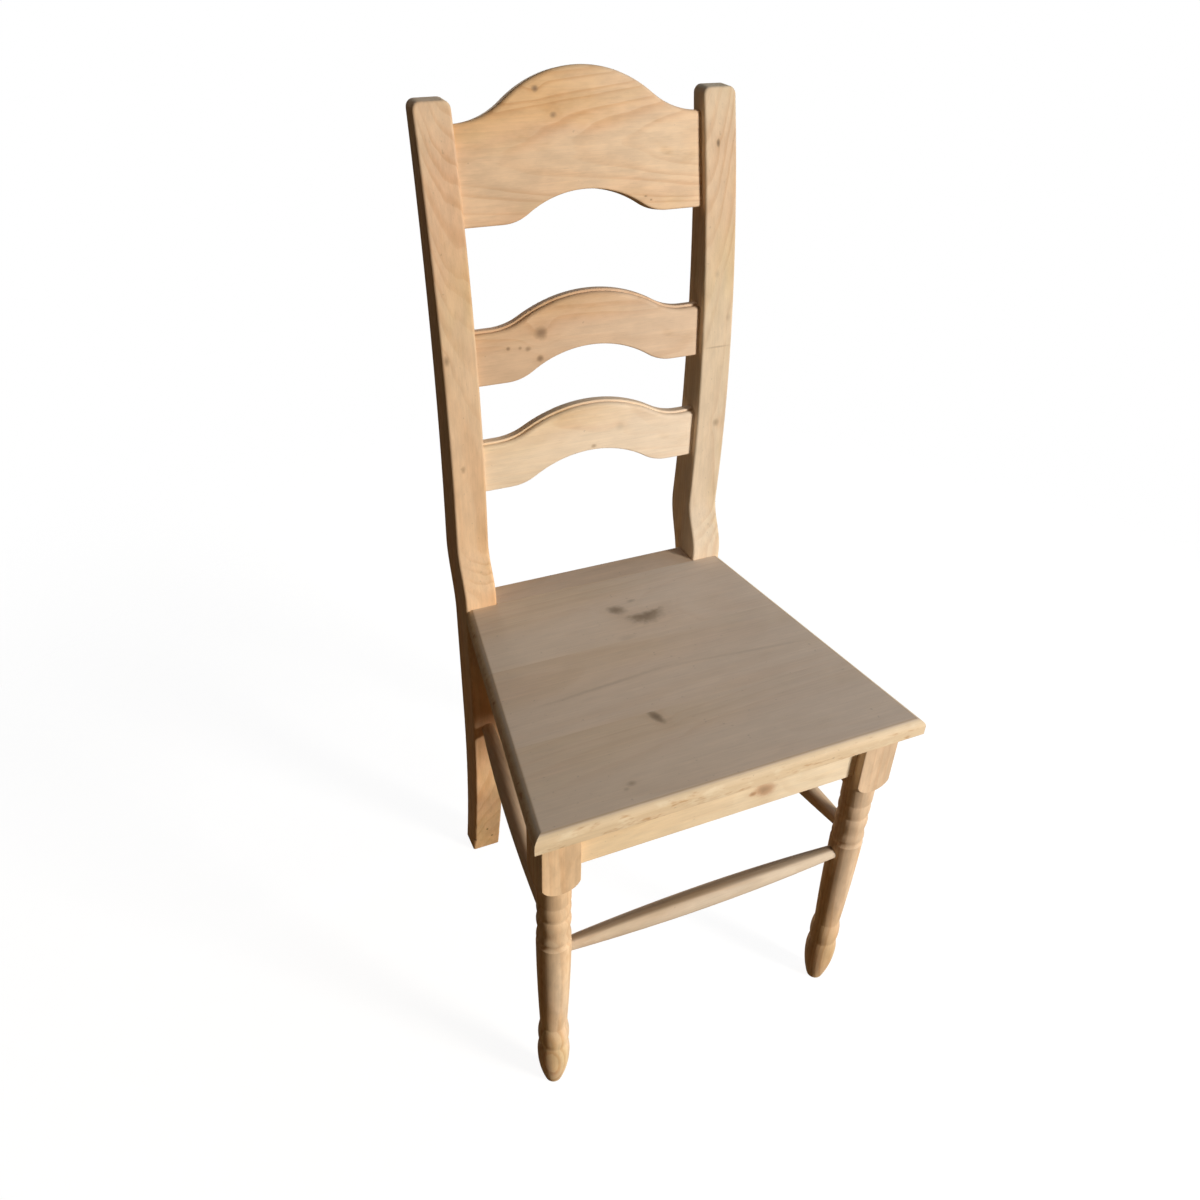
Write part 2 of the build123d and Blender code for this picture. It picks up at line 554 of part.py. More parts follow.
# Turned front legs: a turned length under a square block, whose shoulder the lathe rounds off
def front_leg(side):
    axis_x = side * X_LEG
    bulb = (BULB_DIAMETER / 2, BULB_HEIGHT)
    foot = (FOOT_DIAMETER / 2, 0)
    foot_groove = COLLAR_DIAMETER / 2 - GROOVE_DEPTH
    foot_groove_low = (foot_groove, FOOT_GROOVE_HEIGHT - GROOVE_WIDTH / 2)
    foot_groove_high = (foot_groove, FOOT_GROOVE_HEIGHT + GROOVE_WIDTH / 2)
    collar = (COLLAR_DIAMETER / 2, COLLAR_HEIGHT)
    ankle = (ANKLE_DIAMETER / 2, ANKLE_HEIGHT)
    taper_top = (TAPER_TOP_DIAMETER / 2, BLOCK_BOTTOM - TAPER_DROP)
    taper_middle = ((ankle[0] + taper_top[0]) / 2 + TAPER_SWELL, (ankle[1] + taper_top[1]) / 2)
    ridge_z = BLOCK_BOTTOM - RIDGE_DROP
    ridge = (RIDGE_DIAMETER / 2, ridge_z)
    ridge_groove = (RIDGE_DIAMETER / 2 - GROOVE_DEPTH, (taper_top[1] + ridge_z) / 2)
    waist = (WAIST_DIAMETER / 2, BLOCK_BOTTOM - WAIST_DROP)
    swell = (SWELL_DIAMETER / 2, BLOCK_BOTTOM - SWELL_DROP)
    neck_radius = NECK_DIAMETER / 2
    groove_radius = neck_radius - GROOVE_DEPTH
    lower_groove_z = BLOCK_BOTTOM - LOWER_GROOVE_DROP
    upper_groove_z = BLOCK_BOTTOM - UPPER_GROOVE_DROP
    bead_start = (groove_radius, lower_groove_z + GROOVE_WIDTH / 2)
    bead_end = (groove_radius, upper_groove_z - GROOVE_WIDTH / 2)
    neck_start = (groove_radius, upper_groove_z + GROOVE_WIDTH / 2)
    neck_top = (neck_radius, BLOCK_BOTTOM - SHOULDER_DROP)
    shoulder = (BLOCK_SIZE / sqrt(2), BLOCK_BOTTOM + SHOULDER_RISE)
    with BuildPart() as leg:
        with BuildSketch(Plane(origin=(axis_x, Y_LEG, 0), x_dir=(1, 0, 0), z_dir=(0, -1, 0))):
            with BuildLine():
                Line((0, 0), foot)
                TangentArc(bulb, foot, tangent=(0, -1))
                TangentArc(bulb, foot_groove_low, tangent=(0, 1))
                Line(foot_groove_low, foot_groove_high)
                TangentArc(collar, foot_groove_high, tangent=(0, -1))
                TangentArc(collar, ankle, tangent=(0, 1))
                ThreePointArc(ankle, taper_middle, taper_top)
                ThreePointArc(taper_top, ridge_groove, ridge)
                Spline(ridge, waist, swell, tangents=((0, 1), (0, 1)))
                TangentArc(swell, (groove_radius, lower_groove_z - GROOVE_WIDTH / 2), tangent=(0, 1))
                Line((groove_radius, lower_groove_z - GROOVE_WIDTH / 2), bead_start)
                ThreePointArc(bead_start, (neck_radius, (lower_groove_z + upper_groove_z) / 2), bead_end)
                Line(bead_end, neck_start)
                Line(neck_start, (neck_radius, neck_start[1] + GROOVE_DEPTH))
                Line((neck_radius, neck_start[1] + GROOVE_DEPTH), neck_top)
                TangentArc(shoulder, neck_top, tangent=(0, -1))
                Line(shoulder, (shoulder[0], SEAT_UNDERSIDE))
                Line((shoulder[0], SEAT_UNDERSIDE), (0, SEAT_UNDERSIDE))
                Line((0, SEAT_UNDERSIDE), (0, 0))
            make_face()
        revolve(axis=Axis((axis_x, Y_LEG, 0), (0, 0, 1)))
        fillet(leg.faces().sort_by(Axis.Z)[0].edges(), FOOT_EDGE_RADIUS)
        with BuildSketch():
            with Locations((axis_x, Y_LEG)):
                RectangleRounded(BLOCK_SIZE, BLOCK_SIZE, BLOCK_ARRIS_RADIUS)
        extrude(amount=SEAT_UNDERSIDE, mode=Mode.INTERSECT)
        with Locations(*FRONT_DOWELS, *SIDE_DOWELS):
            Cylinder(HOLE_RADIUS, HOLE_LENGTH, mode=Mode.SUBTRACT)
        cut_sockets(STRETCHERS)
    return leg


for place, side in SIDES.items():
    save(front_leg(side), f"{place}_front_leg")


# Aprons
def straight_apron(half_length, face_y, dowels):
    """Front or back apron, from its front face backwards."""
    with BuildPart() as apron:
        with BuildSketch(Plane.XY.offset(SEAT_UNDERSIDE - APRON_HEIGHT)):
            with Locations((0, face_y + APRON_THICKNESS / 2)):
                Rectangle(2 * half_length, APRON_THICKNESS)
        extrude(amount=APRON_HEIGHT)
        lower_edges = apron.faces().sort_by(Axis.Z)[0].edges().filter_by(Axis.X)
        fillet(lower_edges, APRON_ARRIS_RADIUS)
        with Locations(*dowels):
            Cylinder(HOLE_RADIUS, HOLE_LENGTH, mode=Mode.SUBTRACT)
        cut_screw_holes(BLOCK_SCREWS, BLOCK_SCREW_LENGTH)
    return apron


def side_apron(side):
    front_inner = side_apron_inner_x(Y_BLOCK_REAR)
    rear_inner = side_apron_inner_x(Y_POST)
    with BuildPart() as apron:
        with BuildSketch(Plane.XY.offset(SEAT_UNDERSIDE - APRON_HEIGHT)):
            with BuildLine():
                Polyline(
                    (side * front_inner, Y_BLOCK_REAR),
                    (side * (front_inner + SIDE_APRON_ACROSS), Y_BLOCK_REAR),
                    (side * (rear_inner + SIDE_APRON_ACROSS), Y_POST),
                    (side * rear_inner, Y_POST),
                    close=True,
                )
            make_face()
        extrude(amount=APRON_HEIGHT)
        lower_edges = apron.faces().sort_by(Axis.Z)[0].edges().filter_by(Axis.X, reverse=True)
        fillet(lower_edges, APRON_ARRIS_RADIUS)
        with Locations(*SIDE_DOWELS):
            Cylinder(HOLE_RADIUS, HOLE_LENGTH, mode=Mode.SUBTRACT)
        cut_screw_holes(BLOCK_SCREWS, BLOCK_SCREW_LENGTH)
    return apron


save(straight_apron(X_BLOCK_INNER, FRONT_APRON_FACE, FRONT_DOWELS), "front_apron")
save(straight_apron(post_inner_x(SEAT_UNDERSIDE - APRON_HEIGHT), BACK_APRON_FACE, BACK_DOWELS), "back_apron")
for place, side in SIDES.items():
    save(side_apron(side), f"{place}_apron")

with BuildPart() as apron_dowels:
    with Locations(*ALL_DOWELS):
        Cylinder(DOWEL_DIAMETER / 2, DOWEL_LENGTH)
    chamfer(apron_dowels.edges().filter_by(GeomType.CIRCLE), DOWEL_END_ROOM)
save(apron_dowels, "apron_dowels")


# Stretchers
def stretcher(name):
    half = stretcher_length(name) / 2
    shoulder = half - STRETCHER_SOCKET
    with BuildPart() as rod:
        with BuildSketch(stretcher_plane(name)):
            with BuildLine():
                Line((-half, 0), (-half, STRETCHER_RADIUS))
                Line((-half, STRETCHER_RADIUS), (-shoulder, STRETCHER_RADIUS))
                ThreePointArc(
                    (-shoulder, STRETCHER_RADIUS), (0, STRETCHER_DIAMETER / 2), (shoulder, STRETCHER_RADIUS)
                )
                Line((shoulder, STRETCHER_RADIUS), (half, STRETCHER_RADIUS))
                Line((half, STRETCHER_RADIUS), (half, 0))
                Line((half, 0), (-half, 0))
            make_face()
        axis = Axis(stretcher_plane(name).origin, stretcher_plane(name).x_dir)
        revolve(axis=axis)
    return rod


for name in STRETCHERS:
    save(stretcher(name), name)


# Corner blocks and their screws
def corner_block(corner):
    corner_x = side_apron_inner_x(corner.y)
    wing_y = corner.y + corner.inwards * BLOCK_WING
    notch = BLOCK_SIZE + 2 * CORNER_NOTCH_GAP
    with BuildPart() as block:
        with BuildSketch(Plane.XY.offset(SEAT_UNDERSIDE - CORNER_BLOCK_HEIGHT)):
            with BuildLine():
                Polyline(
                    (corner.side * corner_x, corner.y),
                    (corner.side * (corner_x - BLOCK_WING), corner.y),
                    (corner.side * side_apron_inner_x(wing_y), wing_y),
                    close=True,
                )
            make_face()
            with Locations((corner.side * X_LEG, Y_LEG)):
                Rectangle(notch, notch, mode=Mode.SUBTRACT)
            post_x = post_inner_x(SEAT_UNDERSIDE - CORNER_BLOCK_HEIGHT) - CORNER_NOTCH_GAP + notch / 2
            post_y = Y_POST - CORNER_NOTCH_GAP + notch / 2
            with Locations((corner.side * post_x, post_y)):
                Rectangle(notch, notch, mode=Mode.SUBTRACT)
        extrude(amount=CORNER_BLOCK_HEIGHT)
        cut_screw_holes(BLOCK_SCREWS, BLOCK_SCREW_LENGTH)
        cut_counterbores(BLOCK_SCREWS)
        cut_screw_holes(SEAT_SCREWS, SEAT_SCREW_LENGTH)
        cut_counterbores(SEAT_SCREWS)
    return block


def screws(planes, length):
    with BuildPart() as group:
        with Locations(*planes):
            Cylinder(SCREW_DIAMETER / 2, length, align=FROM_START)
            Cylinder(SCREW_HEAD_DIAMETER / 2, SCREW_HEAD_HEIGHT, align=TO_START)
        with Locations(*(plane.offset(-SCREW_HEAD_HEIGHT) for plane in planes)):
            Box(SCREW_HEAD_DIAMETER, SCREW_SLOT_WIDTH, 2 * SCREW_SLOT_DEPTH, mode=Mode.SUBTRACT)
    return group


for corner in CORNERS:
    save(corner_block(corner), corner.name)
save(screws(BLOCK_SCREWS, BLOCK_SCREW_LENGTH), "corner_block_screws")
save(screws(SEAT_SCREWS, SEAT_SCREW_LENGTH), "seat_screws")


# Seat boards, glued edge to edge across the seat
def seat_board(front_y, back_y):
    half_front = SEAT_FRONT_WIDTH / 2
    half_back = POST_OUTER_WIDTH / 2
    with BuildPart() as board:
        with BuildSketch(Plane.XY.offset(SEAT_UNDERSIDE)):
            with BuildLine():
                Polyline(
                    (-half_front, Y_SEAT_FRONT),
                    (half_front, Y_SEAT_FRONT),
                    (half_back, Y_POST),
                    (-half_back, Y_POST),
                    close=True,
                )
            make_face()
        extrude(amount=SEAT_THICKNESS)
        for face, radius in ((-1, SEAT_EDGE_RADIUS), (0, SEAT_LIP_RADIUS)):
            rim = board.faces().sort_by(Axis.Z)[face].edges()
            fillet(rim.sort_by(Axis.Y)[:-1], radius)
        with Locations((0, (front_y + back_y) / 2, SEAT_UNDERSIDE)):
            Box(SEAT_FRONT_WIDTH, back_y - front_y, 2 * SEAT_THICKNESS, mode=Mode.INTERSECT)
        cut_screw_holes(SEAT_SCREWS, SEAT_SCREW_LENGTH)
    return board


SEAT_BOARDS = ("seat_front_board", "seat_middle_board", "seat_rear_board")
BOARD_DEPTH = SEAT_DEPTH / len(SEAT_BOARDS)
for index, name in enumerate(SEAT_BOARDS):
    front_y = Y_SEAT_FRONT + index * BOARD_DEPTH
    save(seat_board(front_y, front_y + BOARD_DEPTH), name)

with BuildPart() as back_strip:
    strip_half = post_inner_x(SEAT_UNDERSIDE) - BACK_STRIP_GAP
    with BuildSketch(Plane.XY.offset(SEAT_UNDERSIDE)):
        with Locations((0, Y_POST + (BACK_STRIP_GAP + BACK_STRIP_DEPTH) / 2)):
            Rectangle(2 * strip_half, BACK_STRIP_DEPTH - BACK_STRIP_GAP)
    extrude(amount=SEAT_THICKNESS)
    rear_edges = back_strip.faces().sort_by(Axis.Y)[-1].edges().filter_by(Axis.X)
    fillet(rear_edges, BACK_STRIP_EDGE_RADIUS)
save(back_strip, "seat_back_strip")
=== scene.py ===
from math import radians
from typing import NamedTuple

import bmesh
import bpy
from bpy.props import FloatProperty, FloatVectorProperty, PointerProperty
from mathutils import Euler, Matrix, Vector


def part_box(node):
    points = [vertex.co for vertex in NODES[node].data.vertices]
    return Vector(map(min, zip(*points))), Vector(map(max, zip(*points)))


bl_info = {
    "name": "Pine Ladder-back Chair",
    "version": (1, 0, 0),
    "blender": (4, 5, 0),
    "location": "View3D > Sidebar > Chair",
    "description": "Gives the chair's wooden pieces their pine and sets the studio round it",
    "category": "Object",
}

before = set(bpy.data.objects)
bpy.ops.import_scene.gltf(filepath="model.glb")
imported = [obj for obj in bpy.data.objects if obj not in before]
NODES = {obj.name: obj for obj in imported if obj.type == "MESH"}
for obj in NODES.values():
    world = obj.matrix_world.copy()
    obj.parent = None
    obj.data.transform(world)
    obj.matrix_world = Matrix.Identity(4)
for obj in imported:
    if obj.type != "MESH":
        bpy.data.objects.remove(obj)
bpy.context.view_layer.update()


class Mottle(NamedTuple):
    """A noise of a finish: how often it repeats in a metre, and the levels that it rises between.

    On a board, grain counts along the fibres, then out of the face, then across the board.
    """

    grain: tuple
    detail: float
    rough: float
    low: float
    high: float


class Knot(NamedTuple):
    """A branch or a blemish in the face: where it shows, half its length and half its width.

    dark is how strongly it shows, push is how far it shoves the rings aside, lean turns it in the
    face, in degrees, a half knot is cut off straight on the side that its sign names, and live is
    how red its wood still is.
    """

    at: tuple
    length: float
    width: float
    dark: float = 1.0
    push: float = 0.0
    lean: float = 0.0
    half: int = 0
    live: float = 0.0


# Directions in the chair, for the way that a board's fibres run and the way that its face looks.
ALONG_X = (1, 0, 0)
ALONG_Y = (0, 1, 0)
ALONG_Z = (0, 0, 1)
TO_FRONT = (0, -1, 0)
TO_LEFT = (-1, 0, 0)
TO_RIGHT = (1, 0, 0)
TO_FRONT_RIGHT = (1, -1, 0)
TO_REAR_RIGHT = (1, 1, 0)
CREST_FACE = (0.0, -0.977, 0.215)
UPPER_SLAT_FACE = (0.0, -0.995, 0.0985)

# Parts of a vector: along and across in a board's own directions, up in the chair's.
ALONG = 0
ACROSS = 2
UP = 2

WHITE = (1.0, 1.0, 1.0)

# Sockets of a node that mixes colours, and the middle of a noise's colour.
MIX_SHARE = 0
MIX_UNDER = 6
MIX_OVER = 7
MIXED = 2
NOISE_MIDDLE = (0.5, 0.5, 0.5)

# The log: how its heart wanders, slowly and quickly, and how far in metres.
WANDER_GRAIN = (4.5, 24.0, 24.0)
WANDER_REACH = 0.010
WAVER_GRAIN = (16.0, 95.0, 95.0)
WAVER_REACH = 0.0016

# Growth rings: a slow pale rise and a thin dark end, uneven in width and fainter in places.
RING_STEPS = ((0.0, 0.0), (0.40, 0.10), (0.86, 1.0), (0.93, 0.8), (1.0, 0.0))
RING_UNEVEN_SCALE = 90.0
RING_UNEVEN_DETAIL = 1.0
RING_UNEVENNESS = 1.6
RING_PATCHES = Mottle((3.5, 20.0, 20.0), 2.0, 0.5, 0.32, 0.68)
RING_FAINTEST = 0.25

# Slow patches, each with the tone that multiplies the wood there, and a finer cloudiness.
BLUSH = Mottle((4.0, 13.0, 13.0), 3.0, 0.5, 0.42, 0.70)
BLUSH_TONE = (1.0, 0.87, 0.80)
STRAW = Mottle((5.0, 21.0, 15.0), 3.0, 0.5, 0.48, 0.72)
STRAW_TONE = (0.97, 0.99, 0.84)
STAIN = Mottle((19.0, 45.0, 45.0), 3.0, 0.6, 0.56, 0.80)
STAIN_TONE = (0.90, 0.84, 0.75)
CLOUD = Mottle((26.0, 80.0, 80.0), 4.0, 0.6, 0.25, 0.75)

# Fibres, finer hairs, the short dark dashes between them, and stray specks.
FIBRE_GRAIN = (9.0, 420.0, 420.0)
FIBRE_DETAIL = 3.0
HAIR_GRAIN = (40.0, 1700.0, 1700.0)
HAIR_DETAIL = 2.0
GRAIN_ROUGH = 0.6
DASHES = Mottle((70.0, 1500.0, 1500.0), 1.0, 0.5, 0.66, 0.78)
DASH_SHADE = -0.10
SPECKS = Mottle((170.0, 240.0, 240.0), 1.0, 0.5, 0.735, 0.80)
SPECK_SHADE = -0.16

# Knots: their swell in the rings, the cut of a half knot, their ragged edge, and the spans of the
# halo, the body and the core, with 1 at the knot's edge.
KNOT_SWELL = -0.20
HALF_KNOT_SLOPE = 2.2
HALF_KNOT_LEVEL = 0.8
RAGGED_GRAIN = (170.0, 170.0, 170.0)
RAGGED_REACH = 0.5
HALO_SPAN = (2.4, 0.8)
HALO_STRENGTH = 0.30
HALO_TONE = (0.84, 0.74, 0.64)
BODY_SPAN = (1.20, 0.45)
CORE_SPAN = (0.70, 0.05)
CORE_STRENGTH = 0.6

# End grain drinks more and looks darker, but where it faces up that darkening is left off, as painted top
# light.
END_GRAIN_SPAN = (0.70, 0.97)
END_GRAIN_TONE = (0.80, 0.70, 0.60)
END_GRAIN_STRENGTH = 0.8
END_GRAIN_TOP_LIGHT_SPAN = (0.5, 0.9)

# Upper sides: the seat's is greyer and cooler, partly from sitting and partly as painted cool top light, and
# the front stretcher's is darker, mostly as painted shade with some wear from feet.
UNCHANGED = (1.0, 1.0, 1.0)
SEAT_WEAR_AND_COOL_LIGHT = (0.82, 0.83, 0.95)
STRETCHER_WEAR_AND_SHADE = (0.50, 0.46, 0.42)
UPPER_SIDE_SPAN = (0.80, 0.99)

# The seat's rim: rubbed pale, grimy in places, with a painted shade line where it starts to round.
RIM_TOP_SPAN = (0.90, 0.55)
RIM_BOTTOM_SPAN = (-0.90, -0.50)
RUBBED = Mottle((34.0, 75.0, 75.0), 3.0, 0.6, 0.48, 0.64)
RUBBED_TONE = (1.09, 1.15, 1.22)
GRIME = Mottle((30.0, 110.0, 110.0), 3.0, 0.7, 0.53, 0.70)
GRIME_TONE = (0.76, 0.62, 0.50)
RIM_SHADE_TOP_SPAN = (0.998, 0.985)
RIM_SHADE_BOTTOM_SPAN = (0.92, 0.97)
PAINTED_RIM_SHADE_TONE = (0.80, 0.74, 0.66)

# Relief of the wood's surface, as shares of its depth, and its dullness.
RING_RELIEF = 0.25
FIBRE_RELIEF = 0.50
HAIR_RELIEF = 0.20
DASH_RELIEF = -0.25
KNOT_RELIEF = -0.5
RELIEF_STRENGTH = 0.55
DULLNESS = 0.60
DULLNESS_SWAY = 0.20

# Tone of the corner blocks and the dowels, from one end to the other.
PLAIN_TINTS = ((1.00, 1.00, 1.00), (0.96, 0.94, 0.91))

# Screws.
TURNING_GRAIN = (900.0, 900.0, 4000.0)
TURNING_STRENGTH = 0.25
TURNING_DEPTH = 0.0001
TARNISH = Mottle((180.0, 180.0, 180.0), 3.0, 0.5, 0.35, 0.75)
TARNISH_COLOUR = (0.40, 0.36, 0.29)
STEEL_DULLNESS = 0.28
TARNISH_DULLNESS = 0.22

# Floor and surround.
FLOOR_SEGMENTS = 96
FLOOR_DROP = 0.0003
FLOOR_SPECKLE = Mottle((40.0, 40.0, 40.0), 3.0, 0.5, 0.3, 0.7)
FLOOR_TONES = (0.195, 0.205)
FLOOR_GLOW = 0.93
FLOOR_THROWN_BACK = (0.20, 0.13, 0.06)
FLOOR_FADE = (0.45, 0.98)
SURROUND_RISE = (0.0, 0.35)

# Camera.
SENSOR_WIDTH = 36.0
CLIP_START = 0.01


class Board:
    """How one piece was sawn: its fibres, its face, where the log's heart lay, and its knots.

    heart is the heart's place out of the face and across the board, and its two slants are how
    far the heart runs out of the board's own line. ring and figure are the width and the strength
    of its growth rings beside the common ones, and tints are the wood's tone at the start and at
    the end of its length, on some boards with painted light and shade in them. worn is the tone
    of its upper side, partly wear from use and partly painted light and shade, and scuffs are how
    far its rim is rubbed pale and grimy and how dark its painted shade line is. Lengths are
    metres, slants are degrees.
    """

    def __init__(
        self, node, fibres, face, heart, slants, ring, figure, tints,
        knots=(), wear_and_painted_light=UNCHANGED, scuffs_and_rim_shade=0.0,
    ):
        low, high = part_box(node)
        self.node = node
        self.middle = (low + high) / 2
        along = Vector(fibres).normalized()
        out = Vector(face)
        out = (out - along * out.dot(along)).normalized()
        self.turn = Matrix((along, out, along.cross(out))).transposed()
        self.reach = sum(abs(share) * size for share, size in zip(along, high - low)) / 2
        self.heart = heart
        self.slants = slants
        self.ring = ring
        self.figure = figure
        self.tints = tints
        self.knots = knots
        self.wear_and_painted_light = wear_and_painted_light
        self.scuffs_and_rim_shade = scuffs_and_rim_shade

    def own_place(self, point):
        """A point of the chair, told along the fibres, out of the face and across the board."""
        return self.turn.transposed() @ (Vector(point) - self.middle)


class PineSettings(bpy.types.PropertyGroup):
    """The colours and the figure of the bare pine."""

    early_colour: FloatVectorProperty(
        name="Early wood", description="Pale wood between the growth rings",
        subtype="COLOR", size=3, min=0.0, max=1.0, default=(0.82, 0.615, 0.425),
    )
    late_colour: FloatVectorProperty(
        name="Late wood", description="Darker line that ends each growth ring",
        subtype="COLOR", size=3, min=0.0, max=1.0, default=(0.61, 0.345, 0.165),
    )
    knot_colour: FloatVectorProperty(
        name="Dead knot", description="Wood of the knots that a dead branch left",
        subtype="COLOR", size=3, min=0.0, max=1.0, default=(0.34, 0.225, 0.13),
    )
    live_knot_colour: FloatVectorProperty(
        name="Live knot", description="Wood of the knots that a living branch left",
        subtype="COLOR", size=3, min=0.0, max=1.0, default=(0.42, 0.17, 0.07),
    )
    bark_colour: FloatVectorProperty(
        name="Knot core", description="Dark middle of a knot",
        subtype="COLOR", size=3, min=0.0, max=1.0, default=(0.15, 0.09, 0.05),
    )
    ring_gap: FloatProperty(
        name="Ring gap", description="Width of one growth ring",
        subtype="DISTANCE", unit="LENGTH", min=0.001, max=0.02, default=0.0055,
    )
    ring_strength: FloatProperty(
        name="Ring strength", description="How far the late wood darkens the board",
        subtype="FACTOR", min=0.0, max=1.0, default=0.42,
    )
    fibre_strength: FloatProperty(
        name="Fibre strength", description="How far single fibres lighten and darken the board",
        subtype="FACTOR", min=0.0, max=1.0, default=0.10,
    )
    patch_strength: FloatProperty(
        name="Patch strength", description="How far pink, straw and grey patches show",
        subtype="FACTOR", min=0.0, max=1.0, default=0.90,
    )
    cloud_strength: FloatProperty(
        name="Cloud strength", description="How far the wood's lightness wanders",
        subtype="FACTOR", min=0.0, max=0.5, default=0.10,
    )
    sheen: FloatProperty(
        name="Sheen", description="How much the bare wood shines",
        subtype="FACTOR", min=0.0, max=1.0, default=0.42,
    )
    sanding: FloatProperty(
        name="Surface depth", description="How deep the grain and the sanding marks stand",
        subtype="DISTANCE", unit="LENGTH", min=0.0, max=0.002, default=0.0003,
    )


class SteelSettings(bpy.types.PropertyGroup):
    """The colour of the screws."""

    steel_colour: FloatVectorProperty(
        name="Screw steel", description="Plated steel of the screws",
        subtype="COLOR", size=3, min=0.0, max=1.0, default=(0.56, 0.54, 0.49),
    )


class StageSettings(bpy.types.PropertyGroup):
    """The camera, the lamps and the floor round the chair."""

    camera_place: FloatVectorProperty(
        name="Camera place", description="Where the camera stands",
        subtype="TRANSLATION", unit="LENGTH", size=3, default=(-0.43022, -0.81710, 1.17241),
    )
    camera_turn: FloatVectorProperty(
        name="Camera turn", description="How the camera is turned",
        subtype="EULER", unit="ROTATION", size=3, default=(0.95155, -0.02659, -0.41103),
    )
    focal_length: FloatProperty(
        name="Focal length", description="Focal length of the camera's lens in millimetres",
        min=10.0, max=200.0, default=31.138,
    )
    lamp_target: FloatVectorProperty(
        name="Lamp target", description="Where all the lamps are aimed",
        subtype="TRANSLATION", unit="LENGTH", size=3, default=(0.0, 0.0, 0.5),
    )
    key_place: FloatVectorProperty(
        name="Key lamp place", description="Where the main soft lamp stands",
        subtype="TRANSLATION", unit="LENGTH", size=3, default=(2.27, -3.13, 1.54),
    )
    key_power: FloatProperty(
        name="Key lamp power", description="Power of the main soft lamp in watts",
        unit="POWER", min=0.0, default=166.0,
    )
    key_size: FloatProperty(
        name="Key lamp size", description="Width of the main soft lamp",
        subtype="DISTANCE", unit="LENGTH", min=0.1, default=1.0,
    )
    key_colour: FloatVectorProperty(
        name="Key lamp colour", description="Colour of the main soft lamp and the lamp behind the chair",
        subtype="COLOR", size=3, min=0.0, max=1.0, default=(1.0, 0.94, 0.86),
    )
    side_place: FloatVectorProperty(
        name="Side lamp place", description="Where the cool lamp stands, high on the right",
        subtype="TRANSLATION", unit="LENGTH", size=3, default=(2.2, 0.3, 3.1),
    )
    side_power: FloatProperty(
        name="Side lamp power", description="Power of the cool lamp on the right in watts",
        unit="POWER", min=0.0, default=18.0,
    )
    side_size: FloatProperty(
        name="Side lamp size", description="Width of the cool lamp on the right",
        subtype="DISTANCE", unit="LENGTH", min=0.1, default=1.5,
    )
    side_colour: FloatVectorProperty(
        name="Side lamp colour", description="Colour of the cool lamp on the right",
        subtype="COLOR", size=3, min=0.0, max=1.0, default=(0.40, 0.68, 1.0),
    )
    back_place: FloatVectorProperty(
        name="Back lamp place", description="Where the lamp behind the chair stands",
        subtype="TRANSLATION", unit="LENGTH", size=3, default=(0.5, 4.0, 0.75),
    )
    back_power: FloatProperty(
        name="Back lamp power", description="Power of the lamp behind the chair in watts",
        unit="POWER", min=0.0, default=55.0,
    )
    back_size: FloatProperty(
        name="Back lamp size", description="Width of the lamp behind the chair",
        subtype="DISTANCE", unit="LENGTH", min=0.1, default=1.6,
    )
    room_colour: FloatVectorProperty(
        name="Room light", description="Dim light from all round",
        subtype="COLOR", size=3, min=0.0, max=1.0, default=(0.045, 0.026, 0.010),
    )
    floor_radius: FloatProperty(
        name="Floor radius", description="Where the pale floor has faded out",
        subtype="DISTANCE", unit="LENGTH", min=0.5, default=1.7,
    )


